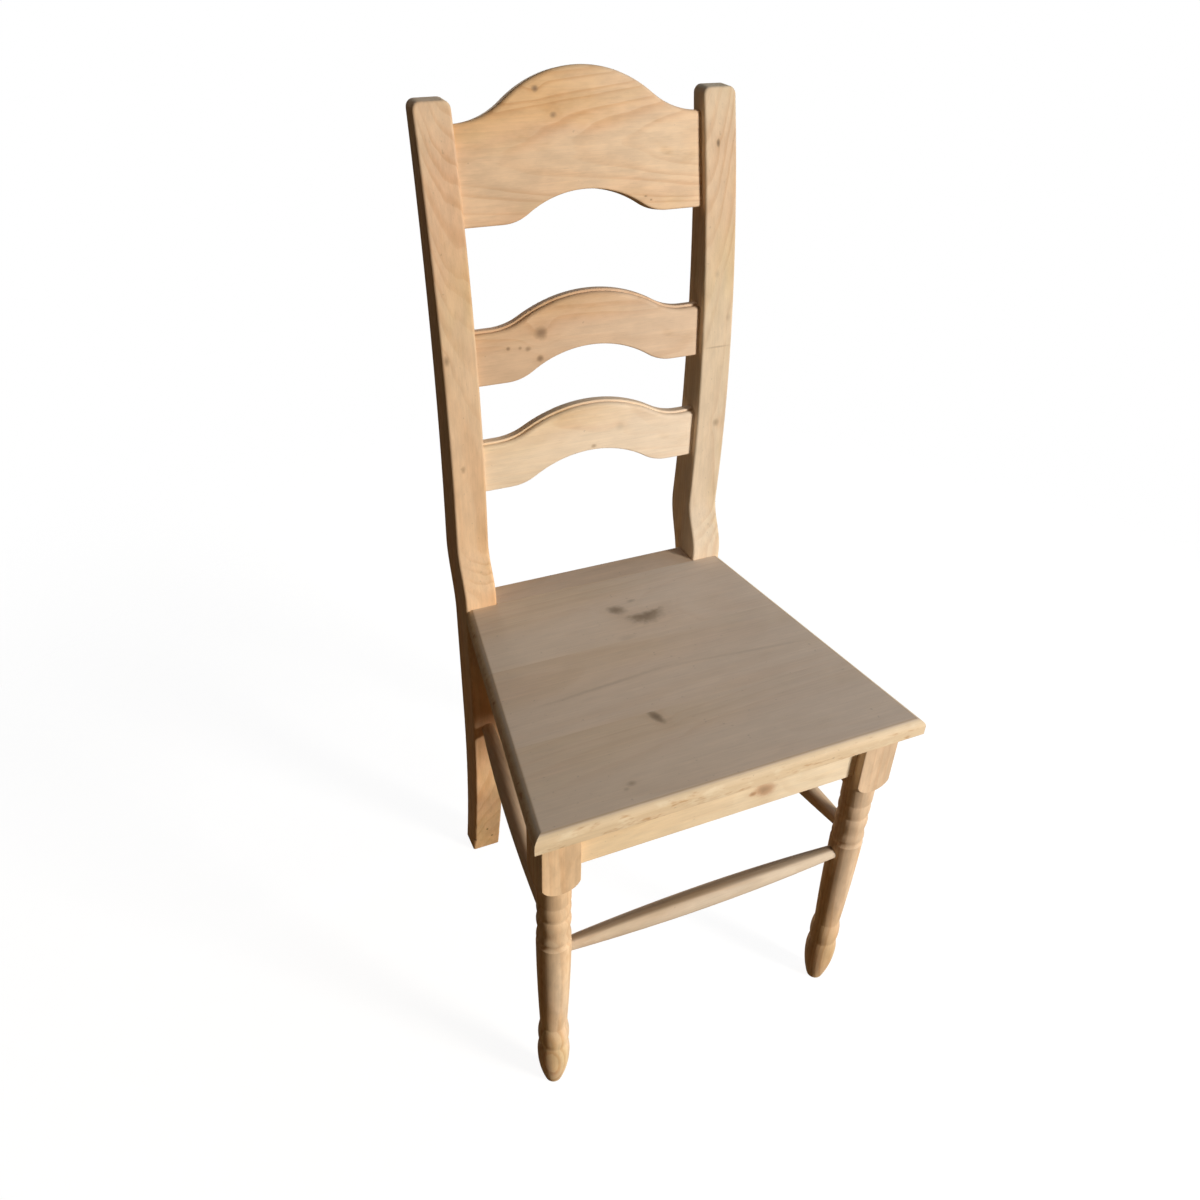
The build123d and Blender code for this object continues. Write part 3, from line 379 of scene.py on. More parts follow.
class Finish:
    """The nodes of one material or surround, with short calls for those needed again and again."""

    def __init__(self, kept):
        self.kept = kept
        self.kept.use_nodes = True
        self.tree = self.kept.node_tree
        self.tree.nodes.clear()

    def add(self, kind, sockets, **settings):
        """A node of that kind, its settings made, its sockets linked or set."""
        node = self.tree.nodes.new(kind)
        for name, value in settings.items():
            setattr(node, name, value)
        for name, value in sockets.items():
            if isinstance(value, bpy.types.NodeSocket):
                self.tree.links.new(value, node.inputs[name])
            else:
                node.inputs[name].default_value = value
        return node

    def math(self, operation, first, second=0.0, third=0.0):
        """The result of one operation on up to three numbers."""
        sockets = {0: first, 1: second, 2: third}
        return self.add("ShaderNodeMath", sockets, operation=operation).outputs[0]

    def vector(self, operation, first, second):
        """The result of one operation on two vectors."""
        sockets = {0: first, 1: second}
        return self.add("ShaderNodeVectorMath", sockets, operation=operation).outputs[0]

    def length(self, vector):
        """The vector's length."""
        return self.add("ShaderNodeVectorMath", {0: vector}, operation="LENGTH").outputs["Value"]

    def along(self, vector, direction):
        """How far the vector reaches along a direction."""
        sockets = {0: vector, 1: direction}
        return self.add("ShaderNodeVectorMath", sockets, operation="DOT_PRODUCT").outputs["Value"]

    def part(self, vector, which):
        """One of the vector's three parts."""
        return self.add("ShaderNodeSeparateXYZ", {0: vector}).outputs[which]

    def told_from(self, place, origin, turn):
        """A place, told from another origin and in directions turned about it."""
        sockets = {"Vector": place, "Location": origin, "Rotation": turn}
        return self.add("ShaderNodeMapping", sockets, vector_type="TEXTURE").outputs[0]

    def scatter(self, place, grain, detail=2.0, rough=0.5, output="Fac"):
        """Noise at that place, as fine along each direction as the grain says."""
        drawn = self.vector("MULTIPLY", place, grain)
        sockets = {"Vector": drawn, "Scale": 1.0, "Detail": detail, "Roughness": rough}
        return self.add("ShaderNodeTexNoise", sockets).outputs[output]

    def shift(self, place, grain, reach):
        """A noisy push across the fibres, up to about half the reach either way."""
        push = self.scatter(place, grain, output="Color")
        push = self.vector("SUBTRACT", push, NOISE_MIDDLE)
        return self.vector("MULTIPLY", push, (0.0, reach, reach))

    def spread(self, value, low, high, first=0.0, last=1.0):
        """The value eased from one span to another."""
        sockets = {"Value": value, "From Min": low, "From Max": high, "To Min": first, "To Max": last}
        return self.add("ShaderNodeMapRange", sockets, interpolation_type="SMOOTHSTEP").outputs[0]

    def mottle(self, place, mottle, first=0.0, last=1.0):
        """A mottle's noise at that place, eased between its levels."""
        noise = self.scatter(place, mottle.grain, mottle.detail, mottle.rough)
        return self.spread(noise, mottle.low, mottle.high, first, last)

    def mix(self, share, under, over, blend="MIX"):
        """Two colours mixed, with the share of the one that lies over."""
        sockets = {MIX_SHARE: share, MIX_UNDER: under, MIX_OVER: over}
        return self.add("ShaderNodeMix", sockets, data_type="RGBA", blend_type=blend).outputs[MIXED]

    def toned(self, colour, tone, share, strength):
        """The colour multiplied by a tone, as far as the share and its strength say."""
        share = self.math("MULTIPLY", share, strength)
        return self.mix(share, colour, opaque(tone), "MULTIPLY")

    def steps(self, value, stops):
        """The value sent through a soft curve of grey steps."""
        node = self.add("ShaderNodeValToRGB", {0: value})
        ramp = node.color_ramp
        ramp.interpolation = "EASE"
        while len(ramp.elements) < len(stops):
            ramp.elements.new(0.5)
        for element, (position, grey) in zip(ramp.elements, stops):
            element.position = position
            element.color = (grey, grey, grey, 1.0)
        return node.outputs["Color"]

    def surface(self, sockets):
        """The finished material, with one shader for its surface."""
        shader = self.add("ShaderNodeBsdfPrincipled", sockets).outputs[0]
        self.add("ShaderNodeOutputMaterial", {"Surface": shader})
        return self.kept


def opaque(colour):
    """The colour with nothing shining through."""
    return (colour[0], colour[1], colour[2], 1.0)


def log_depth(finish, board, place):
    """How far each place lay from the heart of the log, with the wander of living wood."""
    wander = finish.shift(place, WANDER_GRAIN, WANDER_REACH)
    waver = finish.shift(place, WAVER_GRAIN, WAVER_REACH)
    strayed = finish.vector("ADD", finish.vector("ADD", place, wander), waver)
    heart = (0.0, board.heart[0], board.heart[1])
    slant = (0.0, radians(board.slants[1]), radians(board.slants[0]))
    log = finish.told_from(strayed, heart, slant)
    return finish.length(finish.vector("MULTIPLY", log, (0.0, 1.0, 1.0)))


def knot_bodies(finish, board, place, depth):
    """Each knot with how far away it is, 1 at its edge, and the depth with the rings shoved aside."""
    bodies = []
    for knot in board.knots:
        from_knot = finish.told_from(place, board.own_place(knot.at), (0.0, radians(knot.lean), 0.0))
        shaped = finish.vector("MULTIPLY", from_knot, (1.0 / knot.length, 0.0, 1.0 / knot.width))
        away = finish.length(shaped)
        if knot.push:
            swell = finish.math("MULTIPLY", finish.math("POWER", away, 2.0), KNOT_SWELL)
            swell = finish.math("EXPONENT", swell)
            depth = finish.math("ADD", depth, finish.math("MULTIPLY", swell, knot.push))
        if knot.half:
            across = finish.part(shaped, ACROSS)
            cut = finish.math("MULTIPLY_ADD", across, HALF_KNOT_SLOPE * knot.half, HALF_KNOT_LEVEL)
            away = finish.math("MAXIMUM", away, cut)
        bodies.append((knot, away))
    return bodies, depth


def growth_rings(finish, depth, gap):
    """The rings, from 0 in the early wood to 1 in the late wood."""
    sockets = {"W": depth, "Scale": RING_UNEVEN_SCALE, "Detail": RING_UNEVEN_DETAIL}
    uneven = finish.add("ShaderNodeTexNoise", sockets, noise_dimensions="1D").outputs[0]
    turns = finish.math("DIVIDE", depth, gap)
    turns = finish.math("MULTIPLY_ADD", uneven, RING_UNEVENNESS, turns)
    return finish.steps(finish.math("FRACT", turns), RING_STEPS)


def ringed_wood(finish, board, place, ring):
    """Early and late wood, with slow patches of pink, straw and grey."""
    pine = bpy.context.scene.chair_pine
    patch = finish.mottle(place, RING_PATCHES, RING_FAINTEST, 1.0)
    late = finish.math("MULTIPLY", ring, patch)
    late = finish.math("MULTIPLY", late, pine.ring_strength * board.figure)
    colour = finish.mix(late, opaque(pine.early_colour), opaque(pine.late_colour))
    for mottle, tone in ((BLUSH, BLUSH_TONE), (STRAW, STRAW_TONE), (STAIN, STAIN_TONE)):
        patch = finish.mottle(place, mottle)
        colour = finish.toned(colour, tone, patch, pine.patch_strength * board.figure)
    return colour


def fibred_wood(finish, board, place, grain, colour):
    """The colour lightened and darkened by fibres, hairs, clouds, dashes and specks."""
    pine = bpy.context.scene.chair_pine
    fibre, hair, dash = grain
    sway = pine.cloud_strength * board.figure
    cloud = finish.mottle(place, CLOUD, 1.0 - sway, 1.0 + sway)
    strength = pine.fibre_strength
    streaks = finish.math("MULTIPLY_ADD", fibre, strength * 2.0, 1.0 - strength)
    hairs = finish.math("MULTIPLY_ADD", hair, strength, 1.0 - strength / 2.0)
    shade = finish.math("MULTIPLY", finish.math("MULTIPLY", streaks, hairs), cloud)
    shade = finish.math("MULTIPLY_ADD", dash, DASH_SHADE, shade)
    shade = finish.math("MULTIPLY_ADD", finish.mottle(place, SPECKS), SPECK_SHADE, shade)
    return finish.mix(1.0, colour, shade, "MULTIPLY")


def knotted_wood(finish, place, bodies, colour):
    """The colour with the knots' own wood, soft at the edge and dark in the middle, and where they are."""
    if not bodies:
        return colour, 0.0
    pine = bpy.context.scene.chair_pine
    ragged = finish.scatter(place, RAGGED_GRAIN, rough=GRAIN_ROUGH)
    knotted = 0.0
    for knot, away in bodies:
        wood = Vector(pine.knot_colour).lerp(Vector(pine.live_knot_colour), knot.live)
        edge = finish.math("SUBTRACT", away, RAGGED_REACH / 2.0)
        edge = finish.math("MULTIPLY_ADD", ragged, RAGGED_REACH, edge)
        halo = finish.spread(edge, *HALO_SPAN)
        colour = finish.toned(colour, HALO_TONE, halo, HALO_STRENGTH * knot.dark)
        body = finish.math("MULTIPLY", finish.spread(edge, *BODY_SPAN), knot.dark)
        colour = finish.mix(body, colour, opaque(wood))
        core = finish.math("MULTIPLY", finish.spread(edge, *CORE_SPAN), CORE_STRENGTH * knot.dark)
        colour = finish.mix(core, colour, opaque(pine.bark_colour))
        knotted = finish.math("MAXIMUM", knotted, body)
    return colour, knotted


def aged_wood(finish, board, place, normal, colour):
    """The colour with the end grain, the board's own tone, wear from use, and painted light and shade on
    upper sides and on upward end grain.
    """
    upward = finish.part(normal, UP)
    ends = finish.math("ABSOLUTE", finish.along(normal, board.turn.col[ALONG]))
    ends = finish.spread(ends, *END_GRAIN_SPAN)
    # Upward end grain loses its darkening here, as painted top light.
    end_grain_less_painted_top_light = finish.spread(upward, *END_GRAIN_TOP_LIGHT_SPAN, END_GRAIN_STRENGTH, 0.0)
    colour = finish.toned(colour, END_GRAIN_TONE, ends, end_grain_less_painted_top_light)
    lengthwise = finish.spread(finish.part(place, ALONG), -board.reach, board.reach)
    tint = finish.mix(lengthwise, opaque(board.tints[0]), opaque(board.tints[1]))
    colour = finish.mix(1.0, colour, tint, "MULTIPLY")
    # The upper side's tone: wear from use, with painted cool light on the seat and painted shade on the front
    # stretcher.
    wear_and_painted_light = finish.spread(upward, *UPPER_SIDE_SPAN)
    colour = finish.mix(wear_and_painted_light, colour, opaque(board.wear_and_painted_light), "MULTIPLY")
    if board.scuffs_and_rim_shade:
        colour = scuffed_and_shaded_rim(finish, board, place, upward, colour)
    return colour


def scuffed_and_shaded_rim(finish, board, place, upward, colour):
    """The colour rubbed and grimy on a rounded rim, between the upper side and the underside, with a painted
    shade line where it starts to round.
    """
    rim = finish.spread(upward, *RIM_TOP_SPAN, 0.0, board.scuffs_and_rim_shade)
    rim = finish.math("MULTIPLY", rim, finish.spread(upward, *RIM_BOTTOM_SPAN))
    for mottle, tone in ((RUBBED, RUBBED_TONE), (GRIME, GRIME_TONE)):
        colour = finish.toned(colour, tone, rim, finish.mottle(place, mottle))
    # A painted shade line where the rim starts to round.
    rim_shade = finish.spread(upward, *RIM_SHADE_TOP_SPAN)
    rim_shade = finish.math("MULTIPLY", rim_shade, finish.spread(upward, *RIM_SHADE_BOTTOM_SPAN))
    return finish.toned(colour, PAINTED_RIM_SHADE_TONE, rim_shade, board.scuffs_and_rim_shade)


def wood_relief(finish, board, ring, grain, knotted):
    """The bump of rings, fibres, hairs, dashes and sunken knots."""
    fibre, hair, dash = grain
    height = finish.math("MULTIPLY", ring, RING_RELIEF * board.figure)
    height = finish.math("MULTIPLY_ADD", fibre, FIBRE_RELIEF, height)
    height = finish.math("MULTIPLY_ADD", hair, HAIR_RELIEF, height)
    height = finish.math("MULTIPLY_ADD", dash, DASH_RELIEF, height)
    height = finish.math("MULTIPLY_ADD", knotted, KNOT_RELIEF, height)
    depth = bpy.context.scene.chair_pine.sanding
    sockets = {"Height": height, "Strength": RELIEF_STRENGTH, "Distance": depth}
    return finish.add("ShaderNodeBump", sockets).outputs[0]


def pine_finish(board):
    """Bare sanded pine for one board, cut from its own log."""
    pine = bpy.context.scene.chair_pine
    finish = Finish(bpy.data.materials.new("pine_" + board.node))
    coordinates = finish.add("ShaderNodeTexCoord", {}).outputs
    place = finish.told_from(coordinates["Object"], board.middle, board.turn.to_euler())
    depth = log_depth(finish, board, place)
    bodies, depth = knot_bodies(finish, board, place, depth)
    ring = growth_rings(finish, depth, pine.ring_gap * board.ring)
    fibre = finish.scatter(place, FIBRE_GRAIN, FIBRE_DETAIL, GRAIN_ROUGH)
    hair = finish.scatter(place, HAIR_GRAIN, HAIR_DETAIL, GRAIN_ROUGH)
    grain = (fibre, hair, finish.mottle(place, DASHES))

    colour = ringed_wood(finish, board, place, ring)
    colour = fibred_wood(finish, board, place, grain, colour)
    colour, knotted = knotted_wood(finish, place, bodies, colour)
    colour = aged_wood(finish, board, place, coordinates["Normal"], colour)
    return finish.surface({
        "Base Color": colour,
        "Roughness": finish.math("MULTIPLY_ADD", fibre, DULLNESS_SWAY, DULLNESS),
        "Normal": wood_relief(finish, board, ring, grain, knotted),
        "Specular IOR Level": pine.sheen,
    })


def steel_finish():
    """Plated screw steel with fine turning marks and dull patches."""
    steel = bpy.context.scene.chair_steel
    finish = Finish(bpy.data.materials.new("screw_steel_finish"))
    place = finish.add("ShaderNodeTexCoord", {}).outputs["Object"]
    turning = finish.scatter(place, TURNING_GRAIN)
    tarnish = finish.mottle(place, TARNISH)
    sockets = {"Height": turning, "Strength": TURNING_STRENGTH, "Distance": TURNING_DEPTH}
    return finish.surface({
        "Base Color": finish.mix(tarnish, opaque(steel.steel_colour), opaque(TARNISH_COLOUR)),
        "Metallic": 1.0,
        "Roughness": finish.math("MULTIPLY_ADD", tarnish, TARNISH_DULLNESS, STEEL_DULLNESS),
        "Normal": finish.add("ShaderNodeBump", sockets).outputs[0],
    })


def dress(node, material):
    """Puts the material on every slot of a node of the frame."""
    slots = NODES[node].material_slots
    if not slots:
        raise RuntimeError(node + " has no material slot")
    for slot in slots:
        slot.material = material


def dress_boards(boards):
    """Puts its own pine on each board."""
    for board in boards:
        dress(board.node, pine_finish(board))


class CHAIR_OT_rear_posts(bpy.types.Operator):
    """Pine for the two sawn posts that are back legs below and the back's uprights above"""

    bl_idname = "chair.rear_posts"
    bl_label = "Rear Posts"

    def execute(self, context):
        left_marks = (
            Knot((-0.146, 0.160, 0.050), 0.0032, 0.0018, dark=0.8),
            Knot((-0.162, 0.167, 0.028), 0.0036, 0.0020, dark=0.8),
            Knot((-0.138, 0.166, 0.029), 0.0028, 0.0017, dark=0.8),
            Knot((-0.164, 0.156, 0.754), 0.0060, 0.0035, dark=0.5, push=0.002),
            Knot((-0.155, 0.148, 0.632), 0.0050, 0.0030, dark=0.35, push=0.001),
        )
        right_marks = (
            Knot((0.148, 0.187, 0.937), 0.0042, 0.0024, dark=0.9, push=0.002),
            Knot((0.147, 0.163, 0.808), 0.0050, 0.0035, dark=0.18, push=0.001),
            Knot((0.162, 0.157, 0.760), 0.0050, 0.0030, dark=0.18, push=0.001),
            Knot((0.151, 0.154, 0.728), 0.0012, 0.0160, dark=0.26),
            Knot((0.155, 0.148, 0.636), 0.0055, 0.0045, dark=0.36, push=0.003),
        )
        dress_boards((
            # The left post's lighter, warmer tint at its foot is painted light.
            Board(
                "left_rear_post", ALONG_Z, TO_FRONT, heart=(-0.062, 0.021), slants=(1.4, 0.8),
                ring=1.0, figure=0.9, tints=((1.12, 1.00, 0.84), (0.96, 0.94, 0.90)), knots=left_marks,
            ),
            Board(
                "right_rear_post", ALONG_Z, TO_FRONT, heart=(-0.055, -0.027), slants=(-1.2, 0.6),
                ring=1.1, figure=0.8, tints=((1.00, 1.14, 1.32), (0.93, 0.99, 1.01)), knots=right_marks,
            ),
        ))
        return {"FINISHED"}


class CHAIR_OT_back_rails(bpy.types.Operator):
    """Pine for the crest rail and the two slats between the rear posts"""

    bl_idname = "chair.back_rails"
    bl_label = "Back Rails"

    def execute(self, context):
        crest_knots = (
            Knot((-0.047, 0.207, 0.993), 0.0040, 0.0034, dark=0.75, push=0.003),
            Knot((-0.030, 0.202, 0.970), 0.0044, 0.0032, dark=0.55, push=0.002),
            Knot((0.066, 0.184, 0.891), 0.0020, 0.0012, dark=0.6),
            Knot((0.072, 0.184, 0.887), 0.0016, 0.0011, dark=0.6),
        )
        upper_knots = (
            Knot((-0.058, 0.165, 0.767), 0.0080, 0.0078, dark=0.66, push=0.006),
            Knot((-0.095, 0.164, 0.755), 0.0026, 0.0023, dark=0.60, push=0.001),
            Knot((-0.082, 0.164, 0.754), 0.0022, 0.0019, dark=0.40),
            Knot((-0.073, 0.164, 0.752), 0.0036, 0.0030, dark=0.45, push=0.001),
            Knot((-0.060, 0.163, 0.740), 0.0046, 0.0040, dark=0.66, push=0.002),
        )
        lower_knots = (
            Knot((0.002, 0.156, 0.629), 0.0040, 0.0026, dark=0.45, push=0.001),
            Knot((0.034, 0.156, 0.648), 0.0060, 0.0050, dark=0.16, push=0.002),
        )
        dress_boards((
            Board(
                "crest_rail", ALONG_X, CREST_FACE, heart=(-0.060, 0.004), slants=(4.2, 0.6),
                ring=1.05, figure=1.05, tints=((0.92, 0.87, 0.80), (1.03, 1.04, 1.03)), knots=crest_knots,
            ),
            Board(
                "upper_slat", ALONG_X, UPPER_SLAT_FACE, heart=(-0.070, 0.030), slants=(-2.5, 1.0),
                ring=1.1, figure=0.7, tints=((0.85, 0.79, 0.73), (0.95, 0.96, 1.00)), knots=upper_knots,
            ),
            Board(
                "lower_slat", ALONG_X, TO_FRONT, heart=(-0.075, -0.020), slants=(2.2, -0.8),
                ring=1.2, figure=0.55, tints=((1.06, 1.14, 1.18), (1.12, 1.26, 1.44)), knots=lower_knots,
            ),
        ))
        return {"FINISHED"}


class CHAIR_OT_front_legs(bpy.types.Operator):
    """Pine for the two turned front legs"""

    bl_idname = "chair.front_legs"
    bl_label = "Front Legs"

    def execute(self, context):
        dress_boards((
            Board(
                "left_front_leg", ALONG_Z, TO_FRONT, heart=(-0.038, 0.024), slants=(1.0, 0.8),
                ring=0.9, figure=1.35, tints=((1.16, 1.24, 1.30), (1.03, 0.97, 0.85)),
            ),
            Board(
                "right_front_leg", ALONG_Z, TO_FRONT, heart=(-0.034, -0.030), slants=(-0.9, 0.7),
                ring=0.95, figure=1.1, tints=((0.97, 0.98, 0.98), (0.95, 0.95, 0.94)),
            ),
        ))
        return {"FINISHED"}


class CHAIR_OT_aprons(bpy.types.Operator):
    """Pine for the four aprons under the seat"""

    bl_idname = "chair.aprons"
    bl_label = "Aprons"

    def execute(self, context):
        front_knots = (
            Knot((0.048, -0.197, 0.396), 0.0150, 0.0110, dark=0.55, push=0.006, lean=-25.0, live=1.0),
            Knot((0.034, -0.197, 0.394), 0.0050, 0.0032, dark=0.55, push=0.001, live=1.0),
        )
        dress_boards((
            Board(
                "front_apron", ALONG_X, TO_FRONT, heart=(-0.055, 0.010), slants=(1.8, 0.5),
                ring=1.1, figure=0.6, tints=((1.08, 1.13, 1.05), (1.12, 1.28, 1.38)), knots=front_knots,
            ),
            Board(
                "back_apron", ALONG_X, TO_FRONT, heart=(-0.065, -0.025), slants=(-1.5, 0.4),
                ring=1.0, figure=0.6, tints=((1.00, 1.00, 1.00), (0.95, 0.92, 0.88)),
            ),
            # The left apron's darker tints are painted shade on its outer face.
            Board(
                "left_apron", ALONG_Y, TO_LEFT, heart=(-0.060, 0.015), slants=(1.5, 0.4),
                ring=1.0, figure=0.6, tints=((0.72, 0.66, 0.57), (0.66, 0.59, 0.50)),
            ),
            Board(
                "right_apron", ALONG_Y, TO_RIGHT, heart=(-0.060, -0.020), slants=(-1.6, 0.5),
                ring=1.0, figure=0.6, tints=((0.96, 0.95, 0.93), (1.00, 1.00, 1.00)),
            ),
        ))
        return {"FINISHED"}


class CHAIR_OT_stretchers(bpy.types.Operator):
    """Pine for the four turned stretchers between the legs"""

    bl_idname = "chair.stretchers"
    bl_label = "Stretchers"

    def execute(self, context):
        side_tints = ((0.93, 0.95, 0.97), (0.90, 0.90, 0.90))
        dress_boards((
            # The front stretcher's darker upper side is mostly painted shade, with some wear from feet.
            Board(
                "front_stretcher", ALONG_X, TO_FRONT, heart=(-0.032, 0.018), slants=(0.9, 0.4),
                ring=0.8, figure=0.6, tints=((0.90, 1.00, 1.12), (0.92, 1.04, 1.18)),
                wear_and_painted_light=STRETCHER_WEAR_AND_SHADE,
            ),
            Board(
                "back_stretcher", ALONG_X, TO_FRONT, heart=(-0.028, -0.020), slants=(-0.8, 0.5),
                ring=0.8, figure=0.6, tints=((0.88, 0.90, 0.92), (0.92, 0.93, 0.93)),
            ),
            Board(
                "left_stretcher", ALONG_Y, TO_LEFT, heart=(-0.030, 0.016), slants=(1.0, -0.5),
                ring=0.8, figure=0.6, tints=side_tints,
            ),
            Board(
                "right_stretcher", ALONG_Y, TO_RIGHT, heart=(-0.034, 0.014), slants=(-0.7, 0.6),
                ring=0.8, figure=0.6, tints=side_tints,
            ),
        ))
        return {"FINISHED"}


class CHAIR_OT_seat_boards(bpy.types.Operator):
    """Pine for the three seat boards and the strip between the rear posts"""

    bl_idname = "chair.seat_boards"
    bl_label = "Seat Boards"

    def execute(self, context):
        rear_knots = (
            Knot((-0.004, 0.066, 0.460), 0.0125, 0.0092, dark=0.68, push=0.005, lean=-25.0),
            Knot((0.023, 0.050, 0.460), 0.0250, 0.0210, dark=0.85, push=0.010, lean=4.0, half=-1),
            Knot((-0.014, 0.014, 0.460), 0.0130, 0.0060, dark=0.12, push=0.002),
            Knot((0.020, 0.077, 0.460), 0.0060, 0.0035, dark=0.28, push=0.002),
        )
        middle_lines = (
            Knot((-0.075, -0.054, 0.460), 0.0950, 0.0030, dark=0.16, lean=4.6),
            Knot((0.095, -0.057, 0.460), 0.1050, 0.0026, dark=0.11, lean=-5.5),
        )
        front_knots = (
            Knot((-0.042, -0.118, 0.460), 0.0135, 0.0062, dark=0.80, push=0.005, lean=-68.0),
            Knot((-0.105, -0.194, 0.460), 0.0055, 0.0036, dark=0.35, push=0.002),
            Knot((-0.113, -0.199, 0.460), 0.0035, 0.0022, dark=0.22),
        )
        # The seat boards' upper sides are greyer and cooler, partly from sitting and partly as painted cool
        # top light; their rims carry a painted shade line.
        dress_boards((
            Board(
                "seat_front_board", ALONG_X, ALONG_Z, heart=(-0.075, 0.015), slants=(2.4, 0.8),
                ring=1.5, figure=0.28, tints=((0.98, 1.03, 0.98), (1.01, 1.09, 1.10)),
                knots=front_knots, wear_and_painted_light=SEAT_WEAR_AND_COOL_LIGHT, scuffs_and_rim_shade=1.0,
            ),
            Board(
                "seat_middle_board", ALONG_X, ALONG_Z, heart=(-0.085, -0.020), slants=(-2.0, 0.7),
                ring=2.0, figure=0.3, tints=((1.01, 1.06, 1.02), (1.04, 1.12, 1.12)),
                knots=middle_lines, wear_and_painted_light=SEAT_WEAR_AND_COOL_LIGHT, scuffs_and_rim_shade=1.0,
            ),
            Board(
                "seat_rear_board", ALONG_X, ALONG_Z, heart=(-0.070, 0.025), slants=(2.8, -0.6),
                ring=1.4, figure=0.28, tints=((1.05, 1.12, 1.08), (1.08, 1.16, 1.16)),
                knots=rear_knots, wear_and_painted_light=SEAT_WEAR_AND_COOL_LIGHT, scuffs_and_rim_shade=1.0,
            ),
            Board(
                "seat_back_strip", ALONG_X, ALONG_Z, heart=(-0.050, 0.010), slants=(1.0, 0.5),
                ring=1.1, figure=0.5, tints=((0.98, 1.00, 0.94), (1.00, 1.02, 0.97)),
                wear_and_painted_light=SEAT_WEAR_AND_COOL_LIGHT, scuffs_and_rim_shade=1.0,
            ),
        ))
        return {"FINISHED"}


class CHAIR_OT_corner_blocks(bpy.types.Operator):
    """Pine for the four glue blocks in the seat frame's corners"""

    bl_idname = "chair.corner_blocks"
    bl_label = "Corner Blocks"

    def execute(self, context):
        blocks = (
            ("front_left_corner_block", TO_FRONT_RIGHT, (-0.040, 0.010)),
            ("front_right_corner_block", TO_REAR_RIGHT, (-0.045, -0.012)),
            ("rear_left_corner_block", TO_REAR_RIGHT, (-0.042, 0.014)),
            ("rear_right_corner_block", TO_FRONT_RIGHT, (-0.038, -0.010)),
        )
        dress_boards(
            Board(
                node, fibres, ALONG_Z, heart, slants=(1.0, 0.5), ring=0.9, figure=0.6, tints=PLAIN_TINTS,
            )
            for node, fibres, heart in blocks
        )
        return {"FINISHED"}


class CHAIR_OT_fastenings(bpy.types.Operator):
    """Pine for the apron dowels and plated steel for the screws under the seat"""

    bl_idname = "chair.fastenings"
    bl_label = "Dowels and Screws"

    def execute(self, context):
        dowels = Board(
            "apron_dowels", ALONG_X, ALONG_Z, heart=(-0.030, 0.010), slants=(0.5, 0.5),
            ring=0.6, figure=0.6, tints=PLAIN_TINTS,
        )
        dress_boards((dowels,))
        steel = steel_finish()
        dress("corner_block_screws", steel)
        dress("seat_screws", steel)
        return {"FINISHED"}


def soft_lamp(name, place, target, power, width, colour):
    """A round soft lamp at that place, aimed at the target."""
    lamp = bpy.data.lights.new(name, "AREA")
    lamp.shape = "DISK"
    lamp.size = width
    lamp.energy = power
    lamp.color = colour
    lamp_object = bpy.data.objects.new(name, lamp)
    lamp_object.location = place
    lamp_object.rotation_euler = (Vector(target) - Vector(place)).to_track_quat("-Z", "Y").to_euler()
    bpy.context.scene.collection.objects.link(lamp_object)


def floor_finish(radius):
    """A pale floor that keeps the chair's shadow, fades into the white background and is clear from below."""
    finish = Finish(bpy.data.materials.new("pale_floor"))
    place = finish.add("ShaderNodeTexCoord", {}).outputs["Object"]
    tone = finish.mottle(place, FLOOR_SPECKLE, *FLOOR_TONES)
    shaded = finish.add("ShaderNodeBsdfDiffuse", {"Color": tone}).outputs[0]
    sockets = {"Color": opaque(WHITE), "Strength": FLOOR_GLOW}
    glow = finish.add("ShaderNodeEmission", sockets).outputs[0]
    pale = finish.add("ShaderNodeAddShader", {0: shaded, 1: glow}).outputs[0]
    seen = finish.add("ShaderNodeLightPath", {}).outputs["Is Camera Ray"]
    thrown_back = finish.add("ShaderNodeBsdfDiffuse", {"Color": opaque(FLOOR_THROWN_BACK)}).outputs[0]
    shown = finish.add("ShaderNodeMixShader", {0: seen, 1: thrown_back, 2: pale}).outputs[0]
    fade_start, fade_end = FLOOR_FADE
    far = finish.spread(finish.length(place), radius * fade_start, radius * fade_end)
    below = finish.add("ShaderNodeNewGeometry", {}).outputs["Backfacing"]
    unseen = finish.math("MAXIMUM", far, below)
    clear = finish.add("ShaderNodeBsdfTransparent", {}).outputs[0]
    faded = finish.add("ShaderNodeMixShader", {0: unseen, 1: shown, 2: clear}).outputs[0]
    finish.add("ShaderNodeOutputMaterial", {"Surface": faded})
    return finish.kept


def pale_floor(radius):
    """The round floor, a hair below the chair's feet."""
    disc = bmesh.new()
    bmesh.ops.create_circle(disc, cap_ends=True, segments=FLOOR_SEGMENTS, radius=radius)
    mesh = bpy.data.meshes.new("floor")
    disc.to_mesh(mesh)
    disc.free()
    mesh.transform(Matrix.Translation((0.0, 0.0, -FLOOR_DROP)))
    mesh.materials.append(floor_finish(radius))
    floor = bpy.data.objects.new("floor", mesh)
    bpy.context.scene.collection.objects.link(floor)
    return floor


def white_surround(room_colour):
    """White behind the chair and in what shines from above, a dim warm room for everything else."""
    finish = Finish(bpy.data.worlds.new("white_surround"))
    path = finish.add("ShaderNodeLightPath", {}).outputs
    towards = finish.add("ShaderNodeTexCoord", {}).outputs["Generated"]
    rise = finish.spread(finish.part(towards, UP), *SURROUND_RISE)
    above = finish.math("MULTIPLY", path["Is Glossy Ray"], rise)
    shown = finish.math("MAXIMUM", path["Is Camera Ray"], above)
    colour = finish.mix(shown, opaque(room_colour), opaque(WHITE))
    background = finish.add("ShaderNodeBackground", {"Color": colour, "Strength": 1.0}).outputs[0]
    finish.add("ShaderNodeOutputWorld", {"Surface": background})
    return finish.kept


